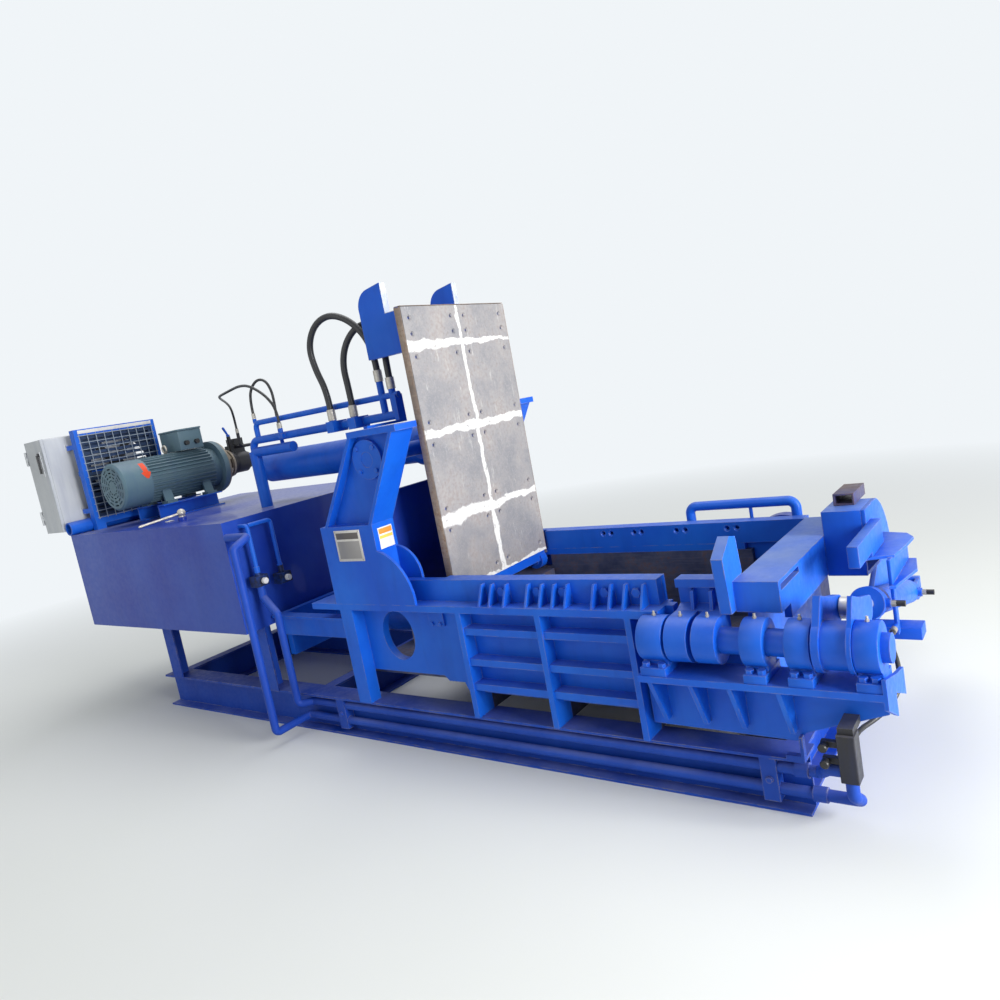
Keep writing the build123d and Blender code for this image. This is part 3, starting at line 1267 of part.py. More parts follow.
rod_eye = 44
eye_half = lug_inner - 4
with BuildPart() as lid_cylinder_rod:
    turned(spot(lid_barrel_rear + 30, 0, trunnion_z), (1, 0, 0),
           [(0, 0), (0, lid_bore - running_gap), (piston_length, lid_bore - running_gap),
            (piston_length, lid_rod), (lid_eye_x - 20 - lid_barrel_rear - 30, lid_rod),
            (lid_eye_x - 20 - lid_barrel_rear - 30, 0)])
    round_y(lid_eye_x, (-eye_half, eye_half), trunnion_z, rod_eye)
lid_cylinder_rod.part.label = "lid_cylinder_rod"
export_step(lid_cylinder_rod.part, "parts/lid_cylinder_rod.step")


# Main ram: a hollow platen box with the cylinder rod fixed to its face plate
ram_back = rest_face - 300
ram_wall = 30
with BuildPart() as main_ram:
    block((ram_back, rest_face), (ram_side_gap - inner_half, inner_half - ram_side_gap),
          (floor_top + ram_gap, ram_top))
    block((ram_back - 1, rest_face - 40), (ram_side_gap - inner_half + ram_wall, inner_half - ram_side_gap - ram_wall),
          (floor_top + ram_gap + ram_wall / 2, ram_top - ram_wall / 2), mode=Mode.SUBTRACT)
    barrel_room = main_barrel_radius + gland_step + 3
    block((ram_back - 1, rest_face - 40), (-barrel_room, barrel_room),
          (main_z - barrel_room, main_z + barrel_room), mode=Mode.SUBTRACT)
    turned(spot(main_rear + 21, 0, main_z), (1, 0, 0),
           [(0, 0), (0, main_bore - running_gap), (piston_length, main_bore - running_gap),
            (piston_length, main_rod), (rest_face - 30 - main_rear - 21, main_rod),
            (rest_face - 30 - main_rear - 21, 0)])
main_ram.part.label = "main_ram"
export_step(main_ram.part, "parts/main_ram.step")

# Side ram: a platen with its rod, sliding across the pocket
side_play = 3
side_ram_depth = 150
with BuildPart() as side_ram:
    block((pocket_left + side_play, pocket_right - side_play), (inner_half, inner_half + side_ram_depth),
          (floor_top + ram_gap, ram_top))
    piston_far = side_rear - 17
    turned(spot(side_axis_x, inner_half + side_ram_depth - 20, side_axis_z), (0, 1, 0),
           [(0, 0), (0, side_rod), (piston_far - inner_half - side_ram_depth + 20 - piston_length, side_rod),
            (piston_far - inner_half - side_ram_depth + 20 - piston_length, side_bore - running_gap),
            (piston_far - inner_half - side_ram_depth + 20, side_bore - running_gap),
            (piston_far - inner_half - side_ram_depth + 20, 0)])
side_ram.part.label = "side_ram"
export_step(side_ram.part, "parts/side_ram.step")


# Turn-out flap: a ribbed plate on two knuckles that turn about the shaft
flap_outer = -485
flap_inner = -405
flap_foot = 548
with BuildPart() as flap_door:
    end_plate([(flap_outer, flap_foot), (flap_inner, flap_foot), (flap_inner, rail_top),
               (flap_inner - 62, rail_top), (flap_inner - 62, rail_top - 30), (flap_outer + 40, rail_top - 34),
               (flap_outer + 40, shaft_z + 95), (flap_outer, shaft_z + 80)], (flap_left, flap_right))
    for x in (flap_left + 60, flap_left + 128):
        end_plate([(flap_outer + 41, rail_top - 34), (flap_outer + 12, rail_top - 40), (flap_outer, shaft_z + 80),
                   (flap_outer + 41, shaft_z + 80)], (x - 6, x + 6))
    for left, right in knuckle_spans:
        round_x((left, right), shaft_across, shaft_z, bearing_radius)
        end_plate([(shaft_across, shaft_z), (flap_outer, shaft_z - 55), (flap_outer, shaft_z + bearing_radius),
                   (shaft_across, shaft_z + bearing_radius)], (left, right))
        round_x((left - 1, right + 1), shaft_across, shaft_z, shaft_radius + running_gap, mode=Mode.SUBTRACT)
flap_door.part.label = "flap_door"
export_step(flap_door.part, "parts/flap_door.step")

# Shaft with the hub and the two lever plates that the cylinder drives
shaft_start = bearing_spans[0][0] + 10
lever_outline = [(-60, 50), (10, 155), (104, 120), (228, 87), (222, 6), (76, -20)]
lever_lug = 42
with BuildPart() as flap_shaft:
    round_x((shaft_start, shaft_end), shaft_across, shaft_z, shaft_radius)
    round_x((lever_plates[0][1], lever_plates[1][0]), shaft_across, shaft_z, bearing_radius - 4)
    for left, right in lever_plates:
        round_x((left, right), shaft_across, shaft_z, bearing_radius + 6)
        end_plate([(shaft_across + sideways, shaft_z + up) for sideways, up in lever_outline], (left, right))
        round_x((left, right), lever_pin[0], lever_pin[1], lever_lug)
flap_shaft.part.label = "flap_shaft"
export_step(flap_shaft.part, "parts/flap_shaft.step")


# Flap cylinder, from the clevis cheeks to the levers
flap_x = (lever_plates[0][1] + lever_plates[1][0]) / 2
pull = Vector(0, lever_pin[0] - clevis_pin[0], lever_pin[1] - clevis_pin[1])
flap_reach = pull.length
flap_bore = 38
flap_rod = 22
tongue_half = 16
tongue_radius = 32
tongue_root = 62
flap_gland = 800
flap_origin = Vector(*spot(flap_x, clevis_pin[0], clevis_pin[1]))
toward_lever = pull.normalized()
with BuildPart() as flap_cylinder_barrel:
    turned(flap_origin, (pull.X, pull.Y, pull.Z),
           [(tongue_root - 2, 0), (tongue_root - 2, flap_barrel_radius), (flap_gland - 50, flap_barrel_radius),
            (flap_gland - 50, flap_barrel_radius + 8), (flap_gland, flap_barrel_radius + 8),
            (flap_gland, flap_rod + running_gap), (flap_gland - 25, flap_rod + running_gap),
            (flap_gland - 25, flap_bore), (80, flap_bore), (80, 0)])
    round_x((flap_x - tongue_half, flap_x + tongue_half), clevis_pin[0], clevis_pin[1], tongue_radius)
    sideways = Vector(0, toward_lever.Z, -toward_lever.Y) * (tongue_radius - 2)
    tongue_corners = [flap_origin + sideways, flap_origin + toward_lever * tongue_root + sideways,
                      flap_origin + toward_lever * tongue_root - sideways, flap_origin - sideways]
    end_plate([(corner.Y - mid_y, corner.Z) for corner in tongue_corners],
              (flap_x - tongue_half, flap_x + tongue_half))
    round_x((clevis_lugs[0][0] - 8, clevis_lugs[1][1] + 8), clevis_pin[0], clevis_pin[1], clevis_bore)
flap_cylinder_barrel.part.label = "flap_cylinder_barrel"
export_step(flap_cylinder_barrel.part, "parts/flap_cylinder_barrel.step")

with BuildPart() as flap_cylinder_rod:
    turned(flap_origin, (pull.X, pull.Y, pull.Z),
           [(84, 0), (84, flap_bore - running_gap), (114, flap_bore - running_gap), (114, flap_rod),
            (flap_reach - 20, flap_rod), (flap_reach - 20, 0)])
    round_x((flap_x - 34, flap_x + 34), lever_pin[0], lever_pin[1], 36)
flap_cylinder_rod.part.label = "flap_cylinder_rod"
export_step(flap_cylinder_rod.part, "parts/flap_cylinder_rod.step")


# Crimped ferrules at every hose end
with BuildPart() as hose_fittings:
    for x, across, top in loop_starts + loop_ends:
        round_z(x, across, (top - ferrule_length, top), loop_diameter / 2 + 5)
    for x, across, top in (pilot_start, pilot_end, link_start, link_end):
        round_z(x, across, (top - pilot_ferrule, top), pilot_diameter / 2 + 3)
    round_y(end_hose_start[0], (end_hose_start[1], end_hose_start[1] + pilot_ferrule), end_hose_start[2],
            end_diameter / 2 + 4)
    round_y(end_hose_tab[0], (end_hose_tab[1] - pilot_ferrule, end_hose_tab[1]), end_hose_tab[2],
            end_diameter / 2 + 4)
hose_fittings.part.label = "hose_fittings"
export_step(hose_fittings.part, "parts/hose_fittings.step")


# Hoses between the fixed fittings, each along its own route
with BuildPart() as lid_hose_front:
    hose("lid_hose_front",
         [spot(*loop_starts[0]), spot(0, -240, 1720), spot(-45, -242, 1835), spot(-58, -244, 1950),
          spot(10, -242, 2045), spot(125, -238, 2075), spot(235, -228, 2030), spot(308, -212, 1945),
          spot(330, -195, 1850), spot(*loop_ends[0])], loop_diameter)
lid_hose_front.part.label = "lid_hose_front"
export_step(lid_hose_front.part, "parts/lid_hose_front.step")

with BuildPart() as lid_hose_rear:
    hose("lid_hose_rear",
         [spot(*loop_starts[1]), spot(160, -240, 1710), spot(148, -235, 1812), spot(160, -216, 1900),
          spot(205, -190, 1970), spot(280, -172, 2000), spot(350, -168, 1975), spot(392, -175, 1905),
          spot(400, -195, 1815), spot(*loop_ends[1])], loop_diameter)
lid_hose_rear.part.label = "lid_hose_rear"
export_step(lid_hose_rear.part, "parts/lid_hose_rear.step")

with BuildPart() as pilot_hose_front:
    hose("pilot_hose_front",
         [spot(*pilot_start), spot(-1560, 290, 1720), spot(-1500, 240, 1785), spot(-1380, 130, 1815),
          spot(-1250, 10, 1830), spot(-1120, -90, 1838), spot(-985, -138, 1843), spot(-865, -165, 1852),
          spot(-756, -196, 1856), spot(-650, -218, 1846), spot(-560, -227, 1808), spot(-485, -229, 1755),
          spot(-435, -228, 1685), spot(*pilot_end)], pilot_diameter)
pilot_hose_front.part.label = "pilot_hose_front"
export_step(pilot_hose_front.part, "parts/pilot_hose_front.step")

with BuildPart() as pilot_hose_rear:
    hose("pilot_hose_rear",
         [spot(*link_start), spot(-685, -195, 1755), spot(-675, -184, 1825), spot(-632, -160, 1872),
          spot(-578, -146, 1856), spot(-548, -144, 1795), spot(-541, -148, 1730), spot(-545, -150, 1670),
          spot(*link_end)],
         pilot_diameter)
pilot_hose_rear.part.label = "pilot_hose_rear"
export_step(pilot_hose_rear.part, "parts/pilot_hose_rear.step")

with BuildPart() as end_hose:
    hose("end_hose",
         [spot(end_hose_start[0], end_hose_start[1] + pilot_ferrule, end_hose_start[2]),
          spot(2370, -468, 300), spot(2402, -400, 304), spot(2440, -330, 322), spot(2464, -265, 362),
          spot(2458, -212, 420), spot(2432, -160, 470), spot(2426, -125, 490),
          spot(end_hose_tab[0], end_hose_tab[1] - pilot_ferrule, end_hose_tab[2])],
         end_diameter)
end_hose.part.label = "end_hose"
export_step(end_hose.part, "parts/end_hose.step")
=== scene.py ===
# %% [markdown]
# # A scrap baling press, dressed for a portrait
# The press comes in from its CAD model with every piece in place and at its real size.
# This lesson sets the camera, lays the hoses, and then gives each piece its paint, steel or rubber.
# The small things that a fitter would screw on last, such as nipples, screws and plates, are modelled here.

# %% Load the press
import math
import bpy
from mathutils import Matrix, Vector


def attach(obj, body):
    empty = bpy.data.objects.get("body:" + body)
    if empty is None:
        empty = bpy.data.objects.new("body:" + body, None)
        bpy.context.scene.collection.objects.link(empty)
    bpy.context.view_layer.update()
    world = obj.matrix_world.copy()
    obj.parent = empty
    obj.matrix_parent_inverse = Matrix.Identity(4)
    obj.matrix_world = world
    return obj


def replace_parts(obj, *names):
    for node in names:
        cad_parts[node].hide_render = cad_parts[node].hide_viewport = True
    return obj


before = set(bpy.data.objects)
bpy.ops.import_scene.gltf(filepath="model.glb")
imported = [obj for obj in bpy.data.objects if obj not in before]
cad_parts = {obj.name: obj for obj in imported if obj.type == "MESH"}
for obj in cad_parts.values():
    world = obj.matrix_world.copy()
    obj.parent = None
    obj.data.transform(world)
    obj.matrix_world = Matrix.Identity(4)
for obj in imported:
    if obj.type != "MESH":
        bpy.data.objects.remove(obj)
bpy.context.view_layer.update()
centre_y = -0.215
print("pieces in the frame:", len(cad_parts))


def spot(x, across, z):
    """A point given in millimetres from the press centre plane, as metres in the row frame."""
    return Vector((x / 1000, centre_y + across / 1000, z / 1000))


# %% [markdown]
# ## The camera
# The photographer stood at the front right, held the camera a little tilted and fairly close.
# The three vanishing points of the machine's edges give the whole camera: its place, its turn and its lens.
# A matrix sets all of that at once, where rotating by hand would need three angles to be found in turn.

# %% Camera at the photographer's place
image_right = Vector((0.795, 0.579, -0.182)).normalized()
image_up = Vector((0.065, 0.217, 0.974))
image_up = (image_up - image_right * image_up.dot(image_right)).normalized()
toward_viewer = image_right.cross(image_up)
viewpoint = Vector((2.990, -3.110, 1.55))
sensor_width = 36.0
focal_pixels, picture_pixels = 771.1, 1000
camera_data = bpy.data.cameras.new("portrait_lens")
camera_data.sensor_width = sensor_width
camera_data.lens = sensor_width * focal_pixels / picture_pixels
camera_data.clip_end = 100.0
camera = bpy.data.objects.new("portrait_camera", camera_data)
bpy.context.collection.objects.link(camera)
turn = Matrix((image_right, image_up, toward_viewer)).transposed().to_4x4()
camera.matrix_world = Matrix.Translation(viewpoint) @ turn
bpy.context.scene.camera = camera
print("camera at", [round(c, 3) for c in camera.location])

# %% [markdown]
# ## The hoses
# A hydraulic hose is a stiff rubber tube that leaves its ferrule straight and then bows over.
# A NURBS curve with the route's corners as its control points bends as evenly as the real hose does.
# The curve's bevel gives it thickness: its depth is one metre, and each point's radius cuts that down.

# %% Hoses on their routes
hose_routes = {
    "lid_hose_front": (0.032, [
        (0, -240, 1625), (0, -240, 1720), (-45, -242, 1835), (-58, -244, 1950), (10, -242, 2045),
        (125, -238, 2075), (235, -228, 2030), (308, -212, 1945), (330, -195, 1850), (330, -195, 1765)]),
    "lid_hose_rear": (0.032, [
        (160, -240, 1625), (160, -240, 1710), (148, -235, 1812), (160, -216, 1900), (205, -190, 1970),
        (280, -172, 2000), (350, -168, 1975), (392, -175, 1905), (400, -195, 1815), (400, -195, 1720)]),
    "pilot_hose_front": (0.015, [
        (-1560, 290, 1640), (-1560, 290, 1720), (-1500, 240, 1785), (-1380, 130, 1815), (-1250, 10, 1830),
        (-1120, -90, 1838), (-985, -138, 1843), (-865, -165, 1852), (-756, -196, 1856), (-650, -218, 1846),
        (-560, -227, 1808), (-485, -229, 1755), (-435, -228, 1685), (-435, -228, 1612)]),
    "pilot_hose_rear": (0.015, [
        (-685, -195, 1690), (-685, -195, 1755), (-675, -184, 1825), (-632, -160, 1872), (-578, -146, 1856),
        (-548, -144, 1795), (-541, -148, 1730), (-545, -150, 1670), (-545, -150, 1610)]),
    "end_hose": (0.016, [
        (2370, -518, 300), (2370, -468, 300), (2402, -400, 304), (2440, -330, 322), (2464, -265, 362),
        (2458, -212, 420), (2432, -160, 470), (2426, -125, 490), (2426, -90, 490)]),
}
# The tube of each hose, by its name
hoses = {}
for name, (thickness, route) in hose_routes.items():
    line = bpy.data.curves.new(name + "_line", "CURVE")
    line.dimensions = "3D"
    line.bevel_depth = 1.0
    line.bevel_resolution = 5
    line.resolution_u = 8
    line.use_fill_caps = True
    spline = line.splines.new("NURBS")
    spline.points.add(len(route) - 1)
    for point, corner in zip(spline.points, route):
        point.co = (*spot(*corner), 1)
        point.radius = thickness / 2
    spline.order_u = 3
    spline.use_endpoint_u = True
    piece = bpy.data.objects.new(name + "_tube", line)
    bpy.context.collection.objects.link(piece)
    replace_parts(piece, name)
    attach(piece, "frame")
    hoses[name] = piece
print("hoses:", list(hoses))

# %% [markdown]
# ## Effects that many finishes share
# Wear sits on edges, dirt runs down and paint varies a little from panel to panel.
# Each effect is a node group with named sockets, built once and then given its own values in every finish.
# The groups read Object coordinates, which stay still on a piece while it moves with the press.


# %% A group for chipped, dusty paint
def group_with(name, inputs, outputs):
    """A shader group with float, colour and vector sockets made from name and kind pairs."""
    tree = bpy.data.node_groups.new(name, "ShaderNodeTree")
    for label, kind, value in inputs:
        socket = tree.interface.new_socket(label, in_out="INPUT", socket_type="NodeSocket" + kind)
        socket.default_value = value
    for label, kind in outputs:
        tree.interface.new_socket(label, in_out="OUTPUT", socket_type="NodeSocket" + kind)
    entry = tree.nodes.new("NodeGroupInput")
    leave = tree.nodes.new("NodeGroupOutput")
    return tree, entry, leave


def add(tree, kind, links=(), **values):
    """A node with its settings, and its inputs linked or set by name or number."""
    node = tree.nodes.new("ShaderNode" + kind)
    for key, value in values.items():
        setattr(node, key, value)
    for key, source in links:
        if hasattr(source, "is_output"):
            tree.links.new(source, node.inputs[key])
        else:
            node.inputs[key].default_value = source
    return node


def mixed(tree, amount, first, second):
    """Two colours mixed by an amount."""
    node = tree.nodes.new("ShaderNodeMix")
    node.data_type = "RGBA"
    for key, source in ((0, amount), (6, first), (7, second)):
        if hasattr(source, "is_output"):
            tree.links.new(source, node.inputs[key])
        else:
            node.inputs[key].default_value = source
    return node.outputs[2]


def ramp(tree, source, low, high, to_low=0.0, to_high=1.0):
    """A value stretched from one range to another and held at its ends."""
    node = add(tree, "MapRange", [(0, source), (1, low), (2, high), (3, to_low), (4, to_high)])
    return node.outputs[0]


def times(tree, first, second, operation="MULTIPLY"):
    """Two values joined by one step of arithmetic, or one test."""
    return add(tree, "Math", [(0, first), (1, second)], operation=operation).outputs[0]


def noise(tree, vector, scale, detail=3.0, roughness=0.55):
    """Soft noise at a scale in patches to the metre."""
    return add(tree, "TexNoise", [("Vector", vector), ("Scale", scale), ("Detail", detail),
                                  ("Roughness", roughness)]).outputs[0]


def edge_mask(tree, width):
    """One along outer edges and nothing on open faces, from the normals within a width in metres."""
    soft = add(tree, "Bevel", [("Radius", width)], samples=4).outputs[0]
    hard = add(tree, "NewGeometry").outputs["Normal"]
    same = add(tree, "VectorMath", [(0, soft), (1, hard)], operation="DOT_PRODUCT").outputs["Value"]
    return ramp(tree, same, 0.995, 0.93)


paint_group, entry, leave = group_with("chipped_paint", [
    ("Paint", "Color", (0.01, 0.06, 0.5, 1)), ("Faded", "Color", (0.03, 0.1, 0.55, 1)),
    ("Bare", "Color", (0.25, 0.23, 0.21, 1)), ("Dust", "Color", (0.35, 0.33, 0.3, 1)),
    ("Edge wear", "Float", 0.5), ("Dustiness", "Float", 0.3), ("Gloss", "Float", 0.35)],
    [("Color", "Color"), ("Roughness", "Float"), ("Height", "Float")])
place = add(paint_group, "TexCoord").outputs["Object"]
broad = noise(paint_group, place, 2.2, 4.0)
fine = noise(paint_group, place, 38.0, 3.0, 0.6)
chips = noise(paint_group, place, 14.0, 6.0, 0.7)
stretched = add(paint_group, "Mapping", [("Vector", place), ("Scale", (9.0, 9.0, 1.1))]).outputs[0]
runs = noise(paint_group, stretched, 1.6, 4.0, 0.6)
facing = add(paint_group, "SeparateXYZ", [(0, add(paint_group, "NewGeometry").outputs["Normal"])]).outputs[2]
upward = ramp(paint_group, facing, 0.35, 0.95)
rubbed = times(paint_group, edge_mask(paint_group, 0.006), ramp(paint_group, chips, 0.42, 0.62))
rubbed = times(paint_group, rubbed, entry.outputs["Edge wear"])
dusty = times(paint_group, times(paint_group, upward, ramp(paint_group, broad, 0.35, 0.7)),
              entry.outputs["Dustiness"])
colour = mixed(paint_group, ramp(paint_group, broad, 0.35, 0.65), entry.outputs["Paint"],
               entry.outputs["Faded"])
colour = mixed(paint_group, ramp(paint_group, runs, 0.5, 0.85, 0.0, 0.25), colour, (0.004, 0.03, 0.2, 1))
colour = mixed(paint_group, dusty, colour, entry.outputs["Dust"])
colour = mixed(paint_group, rubbed, colour, entry.outputs["Bare"])
paint_group.links.new(colour, leave.inputs["Color"])
gloss = times(paint_group, entry.outputs["Gloss"], ramp(paint_group, fine, 0.3, 0.7, 0.85, 1.3))
paint_group.links.new(times(paint_group, gloss, times(paint_group, dusty, 0.3), "ADD"),
                      leave.inputs["Roughness"])
paint_group.links.new(times(paint_group, times(paint_group, fine, 0.6), broad, "ADD"),
                      leave.inputs["Height"])
print("group", paint_group.name, "has", len(paint_group.nodes), "nodes")

# %% [markdown]
# ## Bare, worked steel
# Unpainted plate shows mill scale, bright scratches along the way it slides, and specks of rust.
# The three masks come from noise at three scales, so no picture of steel is needed.

# %% A group for bare, worked steel
steel_group, entry, leave = group_with("worked_steel", [
    ("Bright", "Color", (0.5, 0.48, 0.47, 1)), ("Scale", "Color", (0.2, 0.19, 0.19, 1)),
    ("Rust", "Color", (0.16, 0.07, 0.03, 1)), ("Rustiness", "Float", 0.3), ("Scratches", "Float", 0.4)],
    [("Color", "Color"), ("Roughness", "Float"), ("Height", "Float")])
place = add(steel_group, "TexCoord").outputs["Object"]
patches = noise(steel_group, place, 5.0, 5.0, 0.65)
specks = noise(steel_group, place, 60.0, 3.0, 0.6)
drawn = add(steel_group, "Mapping", [("Vector", place), ("Scale", (2.0, 40.0, 40.0))]).outputs[0]
scratch = ramp(steel_group, noise(steel_group, drawn, 3.0, 2.0), 0.52, 0.66)
scratch = times(steel_group, scratch, entry.outputs["Scratches"])
rusty = ramp(steel_group, times(steel_group, patches, specks, "ADD"), 1.02, 1.25)
rusty = times(steel_group, rusty, entry.outputs["Rustiness"])
colour = mixed(steel_group, ramp(steel_group, patches, 0.35, 0.65), entry.outputs["Scale"],
               entry.outputs["Bright"])
colour = mixed(steel_group, scratch, colour, entry.outputs["Bright"])
colour = mixed(steel_group, rusty, colour, entry.outputs["Rust"])
steel_group.links.new(colour, leave.inputs["Color"])
steel_group.links.new(ramp(steel_group, specks, 0.3, 0.7, 0.42, 0.62), leave.inputs["Roughness"])
steel_group.links.new(times(steel_group, specks, scratch, "ADD"), leave.inputs["Height"])
print("group", steel_group.name, "has", len(steel_group.nodes), "nodes")

# %% [markdown]
# ## Finishes
# Nearly all of the press wears one strong blue enamel, brushed over plates that were already marked.
# A function makes each painted finish from the shared group, so two paints differ only in colour and wear.
# Bare steel, rubber, plastic and cast finishes have functions of their own.


# %% Finish makers
def finish(name, metallic=0.0, coat=0.0):
    """An empty material with its Principled shader."""
    material = bpy.data.materials.new(name)
    material.use_nodes = True
    tree = material.node_tree
    shader = tree.nodes["Principled BSDF"]
    shader.inputs["Metallic"].default_value = metallic
    shader.inputs["Coat Weight"].default_value = coat
    return material, tree, shader


def use_group(tree, group, shader, bump, distance, **values):
    """A group placed in a material and linked to its shader."""
    node = tree.nodes.new("ShaderNodeGroup")
    node.node_tree = group
    for key, value in values.items():
        node.inputs[key.replace("_", " ")].default_value = value
    tree.links.new(node.outputs["Color"], shader.inputs["Base Color"])
    tree.links.new(node.outputs["Roughness"], shader.inputs["Roughness"])
    raised = add(tree, "Bump", [("Height", node.outputs["Height"]), ("Strength", bump),
                                ("Distance", distance)])
    tree.links.new(raised.outputs[0], shader.inputs["Normal"])
    return node


enamel_shine = 0.3
bare_metal = (0.25, 0.23, 0.21)
shop_dust = (0.32, 0.31, 0.34)


def lay_paint(tree, shader, paint, faded, edge=0.5, dust=0.3, gloss=0.4, bare=bare_metal,
              dust_colour=shop_dust):
    """The paint group in a material, with the low shine of brushed enamel."""
    shader.inputs["Specular IOR Level"].default_value = enamel_shine
    return use_group(tree, paint_group, shader, 0.12, 0.004, Paint=(*paint, 1), Faded=(*faded, 1),
                     Bare=(*bare, 1), Dust=(*dust_colour, 1), Edge_wear=edge, Dustiness=dust, Gloss=gloss)


def painted(name, paint, faded, coat=0.0, **wear):
    """A painted finish with chipped edges and settled dust."""
    material, tree, shader = finish(name, coat=coat)
    lay_paint(tree, shader, paint, faded, **wear)
    return material


def steel(name, bright, scale, rust=0.3, scratches=0.4, metallic=0.6):
    """A bare steel finish."""
    material, tree, shader = finish(name, metallic=metallic)
    use_group(tree, steel_group, shader, 0.25, 0.002, Bright=(*bright, 1), Scale=(*scale, 1),
              Rustiness=rust, Scratches=scratches)
    return material


def moulded(name, dark, light, rough, grain=120.0, metallic=0.0):
    """Rubber, plastic or cast metal with a fine grain and a little colour change."""
    material, tree, shader = finish(name, metallic=metallic)
    place = add(tree, "TexCoord").outputs["Object"]
    cloudy = noise(tree, place, 6.0)
    grainy = noise(tree, place, grain, 2.0)
    tree.links.new(mixed(tree, ramp(tree, cloudy, 0.3, 0.7), (*dark, 1), (*light, 1)),
                   shader.inputs["Base Color"])
    tree.links.new(ramp(tree, grainy, 0.3, 0.7, rough - 0.08, rough + 0.08), shader.inputs["Roughness"])
    raised = add(tree, "Bump", [("Height", grainy), ("Strength", 0.2), ("Distance", 0.001)])
    tree.links.new(raised.outputs[0], shader.inputs["Normal"])
    return material


# %% The finishes of the press
blue = (0.004, 0.085, 0.56)
faded_blue = (0.008, 0.13, 0.66)
teal = (0.09, 0.16, 0.20)
faded_teal = (0.13, 0.21, 0.25)
frame_wear = {"edge": 0.55, "dust": 0.25}
motor_wear = {"edge": 0.2, "dust": 0.3, "gloss": 0.42}
sticker_wear = {"edge": 0.1, "dust": 0.1, "gloss": 0.5}
finishes = {
    "frame_blue": painted("frame_blue", blue, faded_blue, **frame_wear),
    "tank_blue": painted("tank_blue", (0.005, 0.032, 0.33), (0.018, 0.065, 0.4), edge=0.3, dust=0.55,
                         gloss=0.34, coat=0.12),
    "skid_blue": painted("skid_blue", (0.005, 0.045, 0.34), (0.01, 0.07, 0.44), edge=0.9, dust=0.35,
                         gloss=0.5),
    "deck_blue": painted("deck_blue", (0.008, 0.095, 0.56), (0.014, 0.13, 0.62), edge=0.9, dust=0.85,
                         dust_colour=(0.22, 0.28, 0.46)),
    "rusty_blue": painted("rusty_blue", (0.012, 0.05, 0.25), (0.09, 0.06, 0.05), edge=1.0, dust=0.6,
                          dust_colour=(0.12, 0.08, 0.06), bare=(0.14, 0.08, 0.05)),
    "guard_grey": painted("guard_grey", (0.24, 0.3, 0.38), (0.3, 0.36, 0.44), edge=0.2, dust=0.2),
    "core_blue": painted("core_blue", (0.012, 0.03, 0.075), (0.02, 0.045, 0.11), edge=0.2, dust=0.2,
                         gloss=0.5),
    "plate_alloy": steel("plate_alloy", (0.62, 0.6, 0.56), (0.5, 0.48, 0.45), 0.05, 0.3, 0.7),
    "plate_dark": painted("plate_dark", (0.10, 0.09, 0.09), (0.15, 0.13, 0.12), edge=0.2, dust=0.1),
    "plate_pale": painted("plate_pale", (0.28, 0.27, 0.27), (0.34, 0.33, 0.32), edge=0.1, dust=0.1),
    "label_white": painted("label_white", (0.78, 0.77, 0.74), (0.7, 0.69, 0.66), **sticker_wear),
    "label_orange": painted("label_orange", (0.8, 0.3, 0.03), (0.72, 0.27, 0.04), **sticker_wear),
    "label_yellow": painted("label_yellow", (0.8, 0.6, 0.08), (0.74, 0.55, 0.1), **sticker_wear),
    "motor_teal": painted("motor_teal", teal, faded_teal, **motor_wear),
    "cabinet_grey": painted("cabinet_grey", (0.5, 0.52, 0.54), (0.58, 0.6, 0.62), edge=0.1, dust=0.15),
    "black_paint": painted("black_paint", (0.01, 0.01, 0.012), (0.03, 0.03, 0.035), edge=0.3, dust=0.3,
                           gloss=0.35),
    "inner_plate": steel("inner_plate", (0.10, 0.11, 0.17), (0.03, 0.04, 0.10), 0.5, 0.4, 0.3),
    "rim_brown": steel("rim_brown", (0.34, 0.26, 0.2), (0.16, 0.12, 0.1), 0.6, 0.3, 0.2),
    # Dark navy; on the cross plate behind the lid this darkness is painted shade
    "navy_and_painted_shade": painted("navy_and_painted_shade", (0.003, 0.02, 0.2), (0.004, 0.03, 0.28), edge=0.5, dust=0.2),
    "bright_steel": steel("bright_steel", (0.62, 0.61, 0.6), (0.45, 0.44, 0.43), 0.1, 0.3, 0.9),
    "zinc": steel("zinc", (0.55, 0.52, 0.46), (0.36, 0.34, 0.30), 0.15, 0.2, 0.8),
    "cast_tan": moulded("cast_tan", (0.22, 0.18, 0.13), (0.36, 0.31, 0.25), 0.6, 60.0, metallic=0.2),
    "hose_rubber": moulded("hose_rubber", (0.010, 0.010, 0.012), (0.028, 0.028, 0.03), 0.42, 180.0),
    "black_plastic": moulded("black_plastic", (0.008, 0.008, 0.009), (0.02, 0.02, 0.022), 0.4),
}
print("finishes:", len(finishes))

# %% [markdown]
# ## Chalky seams between the lid's wear plates
# Filler was smeared white along the joints of the eight plates, and it spread unevenly.
# The joints run at known heights, so the white follows the distance from each one, and noise frays its edge.

# %% Wear plates with white joints
# Height of each level joint in millimetres, and the white's half width in metres at its two ends
joint_rows = {1040: (0.034, 0.016), 1430: (0.022, 0.018), 1820: (0.026, 0.008)}
foot_row = {712: (0.008, 0.014)}
upright_joint = (0.019, 0.011)
plates, tree, shader = finish("lid_plates", metallic=0.35)
plates_node = use_group(tree, steel_group, shader, 0.25, 0.002, Bright=(0.40, 0.375, 0.37, 1),
                        Scale=(0.25, 0.25, 0.27, 1), Rustiness=0.2, Scratches=0.35)
place = add(tree, "TexCoord").outputs["Object"]
where = add(tree, "SeparateXYZ", [(0, place)])
ragged = noise(tree, place, 7.0, 5.0, 0.65)
crumbs = noise(tree, place, 45.0, 3.0, 0.6)
shift = times(tree, times(tree, ragged, 0.5, "SUBTRACT"), 0.07)


